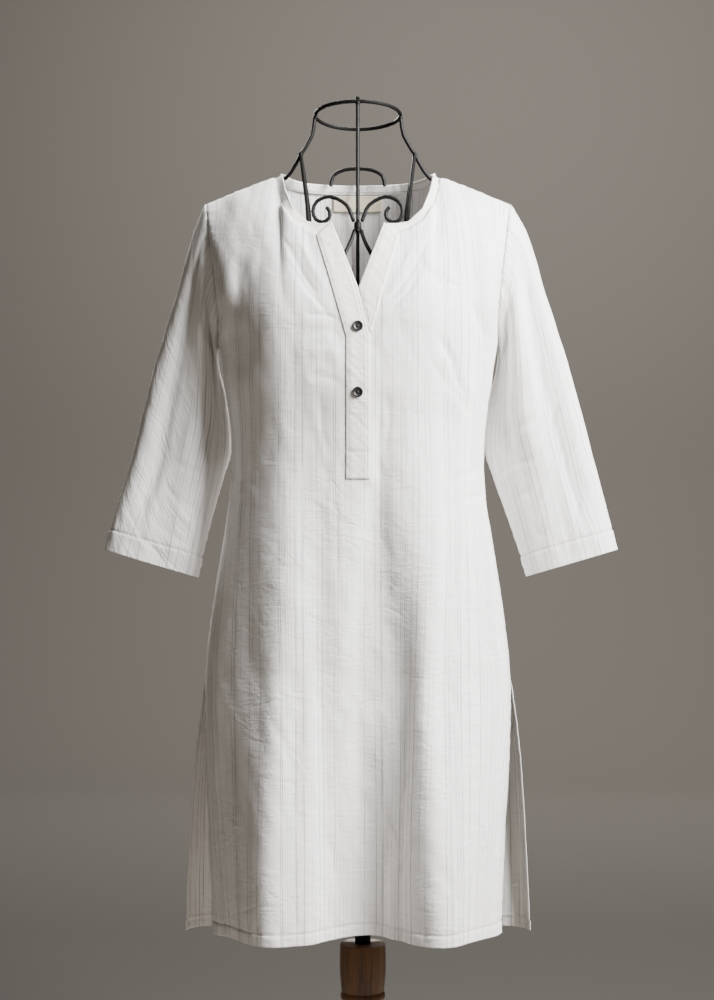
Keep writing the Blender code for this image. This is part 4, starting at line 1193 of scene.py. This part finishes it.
# The label's half width, and how far it hangs down.
LABEL_HALF, LABEL_DROP = 0.0305, 0.020


def label_place(x, down):
    """A place on the label, down from the neck seam and a little inside the back."""
    across = x / TIP_X
    top = back_end(across)
    length = (high_point(BACK, across, top) - high_point(BACK, across, top - 0.2)).length / 0.2
    point = high_point(BACK, across, top - 0.004 - LABEL_DROP / length * down)
    return point - Vector((0, 0.8, 0.6)) * 0.0012


label_points = np.array([[label_place(mix(-LABEL_HALF, LABEL_HALF, i / 40), 1 - j / 16) for i in range(41)]
                         for j in range(17)])
label_finish, label_tree, label_shader = plain("Cream label", (0.77, 0.69, 0.53), 0.6, Sheen_Weight=0.3)
label_weave = noise_of(label_tree, stretched(label_tree, coords_of(label_tree, "UV"), (500, 4200, 0)), 1, 2)
bump_into(label_tree, label_shader, times(label_tree, label_weave, 0.0001))
label_u, label_v, label_ends, _ = gaps_of(label_points)
label_rise = 0.0004 * np.sin(70 * label_u) * (1 - label_v / LABEL_DROP) - 0.0002 * bell(label_ends, 0, 0.0012)
label = Cloth("neck_label_cloth", label_points, 1, label_finish, label_rise, 0.0005, 0.0001, slot="label")
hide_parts("neck_label")
print("plackets, band and label:", placket_top.points.shape, band.points.shape, label.points.shape)

# %% [markdown]
# ## Stitches
# A stitch is a short bead of thread lying on the cloth. `sew` walks a line on a
# finished sheet at an even pace and lays one bead a step, each a little different.

# %% Stitches
SEWING = random.Random(5)


def sew(shape, places, normals, length=0.0028, gap=0.0009, radius=0.00030):
    """Beads of thread along a line of places, each lying along the line and sunk a little in the cloth."""
    steps = np.linalg.norm(np.diff(places, axis=0), axis=1)
    walked = np.concatenate(([0], np.cumsum(steps)))
    count = int(walked[-1] / (length + gap))
    for k in range(count):
        ends = [k * (length + gap), k * (length + gap) + length * SEWING.uniform(0.92, 1.06)]
        a, b = (Vector([np.interp(end, walked, places[:, axis]) for axis in range(3)]) for end in ends)
        out = Vector([np.interp(ends[0], walked, normals[:, axis]) for axis in range(3)]).normalized()
        way = b - a
        side = out.cross(way).normalized()
        lay = Matrix((side * radius, out * radius * 0.85, way / 2)).transposed().to_4x4()
        lay.translation = a.lerp(b, 0.5) + out * radius * 0.4
        bmesh.ops.create_uvsphere(shape, u_segments=4, v_segments=4, radius=1, matrix=lay)


def stitches(name, *runs):
    """One piece of thread for all the lines of a sheet."""
    shape = bmesh.new()
    for places, normals in runs:
        sew(shape, places, normals)
    bmesh.ops.recalc_face_normals(shape, faces=shape.faces)
    return finished(name, shape, thread, "cotton")


def step_in(line, distance, from_end):
    """The grid step at a distance along one line of the grid, from its start or its end."""
    return np.interp(line[-1] - distance if from_end else distance, line, np.arange(len(line)))


def across_line(cloth, distance, from_top=False, count=400):
    """A line over the whole width, a distance in from the hem or from the top."""
    columns = np.linspace(0, cloth.u.shape[1] - 1, count)
    return cloth.on([step_in(cloth.v[:, int(column)], distance, from_top) for column in columns], columns)


def side_lines(cloth, distance, first_row=0, last_row=None, count=300):
    """Lines up the first side and then the other, a distance in from it."""
    rows = np.linspace(first_row, len(cloth.u) - 1 if last_row is None else last_row, count)
    return [cloth.on(rows, [step_in(cloth.u[int(row)], distance, from_end) for row in rows])
            for from_end in (False, True)]


front_slit = np.interp(SLIT_Z, low_rows, range(LOW_COUNT + 1))
back_slit = np.interp(SLIT_Z, back_rows, range(LOW_COUNT + 1))
front_stitch = stitches("front_stitches", across_line(front, HEM_STITCH),
                        *side_lines(front, SLIT_STITCH, 4, front_slit))
back_stitch = stitches("back_stitches", across_line(back, HEM_STITCH), *side_lines(back, SLIT_STITCH, 4, back_slit))
right_stitch = stitches("sleeve_right_stitches", across_line(right, CUFF_STITCH, from_top=True))
left_stitch = stitches("sleeve_left_stitches", across_line(left, CUFF_STITCH, from_top=True))
top_stitch = stitches("placket_stitches", *side_lines(placket_top, EDGE_STITCH),
                      across_line(placket_top, EDGE_STITCH), across_line(placket_top, BOX_STITCH),
                      *side_lines(placket_under, EDGE_STITCH))
band_stitch = stitches("band_stitches", across_line(band, EDGE_STITCH, count=800),
                       across_line(band, EDGE_STITCH, from_top=True, count=800))
label_stitch = stitches("label_stitches", across_line(label, 0.0010, from_top=True, count=60))

# %% [markdown]
# ## Buttons
# Two round black buttons with a raised rim and four holes, sewn on with crossed thread. Each hole is a thin disc of
# darker black: painted shade.

# %% Buttons
def spun(name, profile, finish, slot, steps, place=Matrix(), crisp=32):
    """A turned shape from its half outline of (radius, height), with edges kept sharp above some degrees."""
    shape = bmesh.new()
    verts = [shape.verts.new((radius, 0, height)) for radius, height in profile]
    edges = [shape.edges.new(pair) for pair in zip(verts, verts[1:])]
    bmesh.ops.spin(shape, geom=verts + edges, cent=(0, 0, 0), axis=(0, 0, 1), angle=math.tau, steps=steps,
                   use_merge=True)
    bmesh.ops.remove_doubles(shape, verts=shape.verts, dist=SAME_PLACE)
    bmesh.ops.recalc_face_normals(shape, faces=shape.faces)
    bmesh.ops.transform(shape, matrix=place, verts=shape.verts)
    made = finished(name, shape, finish, slot)
    made.data.set_sharp_from_angle(angle=math.radians(crisp))
    return made


def facing(place, way):
    """A frame at a place, with its own upward axis along the way."""
    return Matrix.Translation(place) @ way.to_track_quat("Z", "Y").to_matrix().to_4x4()


button_black = speckled("Black horn button", (0.012, 0.012, 0.013), 0.42, 900, 0.3)
hole_painted_shade = speckled("Button hole painted shade", (0.004, 0.004, 0.004), 0.9, 900)
button_thread = speckled("Button thread", (0.035, 0.034, 0.033), 0.8, 2500, 0.3)
# The disc's half outline in parts of the radius and metres of height, and how far out the holes are.
DISC = ((0, 0.0017), (0.50, 0.0017), (0.64, 0.0020), (0.74, 0.0026), (0.86, 0.0027), (0.96, 0.0023), (1, 0.0015),
        (0.96, 0.0006), (0.84, 0.0), (0, 0))
HOLE = ((0, 0.0001), (0.00055, 0.0001), (0.00062, 0), (0, 0))
HOLE_OUT, THREAD_RADIUS = 0.0012, 0.0002
for name, z in zip(("button_upper", "button_lower"), BUTTON_Z):
    row = np.interp(z, placket_top.points[:, TOP_COLUMNS // 2, 2], np.arange(TOP_ROWS))
    (seat,), (normal,) = placket_top.on([row], [TOP_COLUMNS // 2])
    normal = Vector(normal).normalized()
    place = facing(Vector((FORM_X, *seat[1:])) + normal * 0.0002, normal)
    disc = spun(name + "_disc", [(part * BUTTON_RADIUS, height) for part, height in DISC], button_black, "buttons",
                48, place, 60)
    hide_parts(name)
    for k, (x, y) in enumerate(((1, 1), (1, -1), (-1, 1), (-1, -1))):
        # Each hole is a thin, near-black disc on the face: painted shade in place of a real hole.
        spot = place @ Matrix.Translation((x * HOLE_OUT, y * HOLE_OUT, 0.0017))
        spun(name + "_hole_" + str(k + 1), HOLE, hole_painted_shade, "buttons", 12, spot)
    crossing = bmesh.new()
    for k, turn in enumerate((1, -1)):
        # Two strands side by side, the second pair lying over the first.
        for strand in (-0.00022, 0.00022):
            start, end = (Vector((way * HOLE_OUT + strand, way * turn * HOLE_OUT - strand * turn, 0.0019))
                          for way in (-1, 1))
            lay = facing(start.lerp(end, 0.5) + Vector((0, 0, 0.0002 * k)), end - start)
            bmesh.ops.create_cone(crossing, cap_ends=True, segments=8, radius1=THREAD_RADIUS, radius2=THREAD_RADIUS,
                                  depth=(end - start).length, matrix=place @ lay)
    finished(name + "_thread", crossing, button_thread, "buttons")
print("buttons sewn on at", BUTTON_Z)

# %% [markdown]
# ## Wire and wood
# The wires keep their solids and gain a satin black enamel. Small beads of weld sit
# where they meet. The post and foot are turned again with more steps, and the grain
# runs up the post and across the foot.

# %% Wire form
enamel, enamel_tree, enamel_shader = plain("Satin black enamel", (0.005, 0.005, 0.005), 0.5,
                                           Specular_IOR_Level=0.14)
enamel_noise = noise_of(enamel_tree, coords_of(enamel_tree), 300, 3)
for look, low, high in (("Roughness", 0.44, 0.58), ("Base Color", (0.0065, 0.0062, 0.006), 0.0035)):
    feed(enamel_tree, enamel_shader.inputs[look], ramp_of(enamel_tree, enamel_noise, (0.3, low), (0.7, high)))
# Every solid that no new piece stands for is wire, except those of the wood.
for name, solid in frame["nodes"].items():
    if solid.hide_render or name in ("post", "base"):
        continue
    for slot in solid.material_slots:
        slot.material = enamel
    for polygon in solid.data.polygons:
        polygon.use_smooth = True

CLAMP_Y, BEAD_Z = -0.077, RING_Z - 0.0025
# Each bead: place from the form's middle, and radius.
beads = [(0, CLAMP_Y - 0.003, 1.274, 0.0030), (0, -RING_RADIUS, BEAD_Z, 0.0034), (0, RING_RADIUS, BEAD_Z, 0.0034)]
for sign in (-1, 1):
    beads += [(sign * RING_RADIUS, 0, BEAD_Z, 0.0034), (sign * 0.0684, 0, 1.3850, 0.0036),
              (sign * 0.0052, CLAMP_Y, 1.2868, 0.0028), (sign * 0.0325, CLAMP_Y, 1.2965, 0.0026)]
weld = bmesh.new()
for x, y, z, radius in beads:
    place = Matrix.Translation((FORM_X + x, y, z)) @ Matrix.Diagonal((0.85, 0.85, 0.95, 1))
    bmesh.ops.create_uvsphere(weld, u_segments=16, v_segments=10, radius=radius, matrix=place)
finished("weld_beads", weld, enamel, "wire")

# %% [markdown]
# The wood is stained brown. Its grain is drawn-out noise, so the post and the foot differ.

# %% Turned wood
def make_wood(name, stretch, dark=(0.036, 0.012, 0.0015), pale=(0.150, 0.060, 0.012)):
    """Stained wood whose grain is drawn out along the axis with the smallest stretch."""
    finish, tree, shader = plain(name, pale, 0.46, Coat_Weight=0.10)
    grain, fine = (noise_of(tree, stretched(tree, coords_of(tree), [s * close for s in stretch]), 1, detail, rough)
                   for close, detail, rough in ((1, 6, 0.62), (5, 3, 0.7)))
    both = value_node(tree, "ADD", times(tree, grain, 0.7), times(tree, fine, 0.3))
    middle = tuple(mix(a, b, 0.6) for a, b in zip(dark, pale))
    feed(tree, shader.inputs["Base Color"], ramp_of(tree, both, (0.36, dark), (0.48, middle), (0.60, pale)))
    feed(tree, shader.inputs["Roughness"], ramp_of(tree, both, (0.3, 0.55), (0.7, 0.38)))
    bump_into(tree, shader, times(tree, fine, 0.00012))
    return finish


post_wood, base_wood = make_wood("Stained post", (160, 160, 7)), make_wood("Stained foot", (9, 130, 130))
POST_TOP_Z, BASE_RADIUS, BASE_HEIGHT = 0.439, 0.160, 0.028
foot = BASE_HEIGHT + SEAM_GAP
# Half outlines of (radius, height), from the top down.
post_profile = ((0, POST_TOP_Z), (0.0262, POST_TOP_Z), (0.0272, POST_TOP_Z - 0.0012), (0.0276, 0.425),
                (0.0274, 0.405), (0.0258, 0.385), (0.0250, 0.3825), (0.0262, 0.3805), (0.0268, 0.3770),
                (0.0262, 0.3735), (0.0235, 0.3715), (0.0205, 0.366), (0.0190, 0.350), (0.0200, 0.310),
                (0.0232, 0.250), (0.0262, 0.190), (0.0270, 0.150), (0.0255, 0.112), (0.0215, 0.085),
                (0.0200, 0.078), (0.0232, 0.074), (0.0250, 0.068), (0.0232, 0.062), (0.0220, 0.058),
                (0.0300, 0.046), (0.0360, 0.036), (0.0370, foot), (0, foot))
base_profile = ((0, BASE_HEIGHT), (0.060, BASE_HEIGHT), (0.128, BASE_HEIGHT - 0.003), (0.146, BASE_HEIGHT - 0.006),
                (0.1560, BASE_HEIGHT - 0.010), (BASE_RADIUS, 0.012), (BASE_RADIUS, 0.006),
                (BASE_RADIUS - 0.004, 0.001), (BASE_RADIUS - 0.007, 0), (0, 0))


def rounded(profile):
    """The same outline with three short steps for each long one."""
    count = 3 * (len(profile) - 1) + 1
    return tuple(zip(*(finer(np.array(values), count) for values in zip(*profile))))


post = spun("post_turned", post_profile[:3] + rounded(post_profile[3:26]) + post_profile[26:], post_wood, "wood", 96)
base = spun("base_turned", base_profile, base_wood, "wood", 128)
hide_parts("post")
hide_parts("base")
print("welded, turned and stained")

# %% [markdown]
# ## Cloth facts
# Each sheet's area is printed.

# %% Sheets
for cloth in (front, back, right, left, placket_top, placket_under, band, label):
    print(cloth.piece.name, "area", round(cloth.area, 4))

# %% [markdown]
# ## Studio and camera
# A paper sweep, a strong soft key high on the right, a weak warm fill in front, and
# soft light from above and behind. A fifth light is for the paper alone. The camera
# stands straight in front and looks level.

# %% Studio
sweep = bmesh.new()
bmesh.ops.create_grid(sweep, x_segments=2, y_segments=90, size=1)
NEAR_Y, WALL_Y, WALL_TOP, BEND, HALF_WIDE = -7.0, 6.8, 7.0, 1.8, 9
turns = [math.pi / 2 * k / 16 for k in range(17)]
along_sweep = walk([(NEAR_Y, 0.0)] + [(WALL_Y - BEND + BEND * math.sin(turn), BEND - BEND * math.cos(turn))
                                      for turn in turns] + [(WALL_Y, WALL_TOP)])
for vert in sweep.verts:
    vert.co = (vert.co.x * HALF_WIDE, *along_sweep((vert.co.y + 1) / 2))
# The paper is paler under the stand and far back; the darker band between is painted shade on the floor behind the
# stand.
paper, paper_tree, paper_shader = plain("Studio paper with painted shade", (0.13, 0.1195, 0.106), 0.95)
paper_coords = coords_of(paper_tree)
paper_split = paper_tree.nodes.new("ShaderNodeSeparateXYZ")
feed(paper_tree, paper_split.inputs[0], paper_coords)
depth_in = value_node(paper_tree, "ADD", paper_split.outputs["Y"],
                      times(paper_tree, noise_of(paper_tree, paper_coords, 1.3, 4), 0.1))
paper_painted_shade = ramp_of(paper_tree, value_node(paper_tree, "MULTIPLY", depth_in, 0.2, clamp=True),
                     (0.05, (0.24, 0.222, 0.195)), (0.24, (0.058, 0.053, 0.047)), (0.42, (0.062, 0.057, 0.050)),
                     (0.95, (0.13, 0.1195, 0.106)))
feed(paper_tree, paper_shader.inputs["Base Color"], paper_painted_shade)
finished("studio_sweep", sweep, paper)


def softbox(name, place, size, power, colour, aim=(0, 0, 0.85), spread=180):
    """A soft rectangle of light that the camera doesn't see."""
    light = bpy.data.lights.new(name, "AREA")
    light.shape = "RECTANGLE"
    light.size, light.size_y = size
    light.energy = power
    light.color = colour
    light.spread = math.radians(spread)
    lamp = bpy.data.objects.new(name, light)
    lamp.location = place
    lamp.rotation_euler = (Vector(aim) - Vector(place)).to_track_quat("-Z", "Y").to_euler()
    lamp.visible_camera = False
    bpy.context.scene.collection.objects.link(lamp)


softbox("Key", (1.22, -0.86, 2.0), (1.0, 1.2), 205, (1.0, 0.99, 0.98), (0, 0, 1.6))
softbox("Fill", (-0.9, -2.4, 1.2), (1.6, 1.8), 3.5, (1.0, 0.90, 0.78))
softbox("Top", (0.2, 0.6, 2.9), (1.4, 1.0), 30, (1, 0.98, 0.95))
softbox("Back", (-0.5, 2.3, 2.2), (1.2, 1.2), 18, (1, 0.96, 0.90), spread=60)
softbox("Backdrop", (0.9, 2.2, 4.6), (3.0, 1.0), 435, (1.0, 0.98, 0.95), (0.9, WALL_Y, 1.6))
world = bpy.data.worlds.new("Soft room")
world.use_nodes = True
sky = world.node_tree.nodes["Background"]
sky.inputs["Color"].default_value, sky.inputs["Strength"].default_value = (1.0, 0.88, 0.74, 1), 0.042
bpy.context.scene.world = world

# The lens is shifted up, so the level camera still sees the whole stand.
lens = bpy.data.cameras.new("Studio camera")
lens.lens, lens.sensor_width, lens.sensor_fit = 53.1, 36, "AUTO"
lens.shift_x, lens.shift_y = -0.0008, 0.104
camera = bpy.data.objects.new("Studio camera", lens)
camera.location = (FORM_X, -1.77, 0.846)
camera.rotation_euler = (math.radians(90), 0, 0)
bpy.context.scene.collection.objects.link(camera)
bpy.context.scene.camera = camera
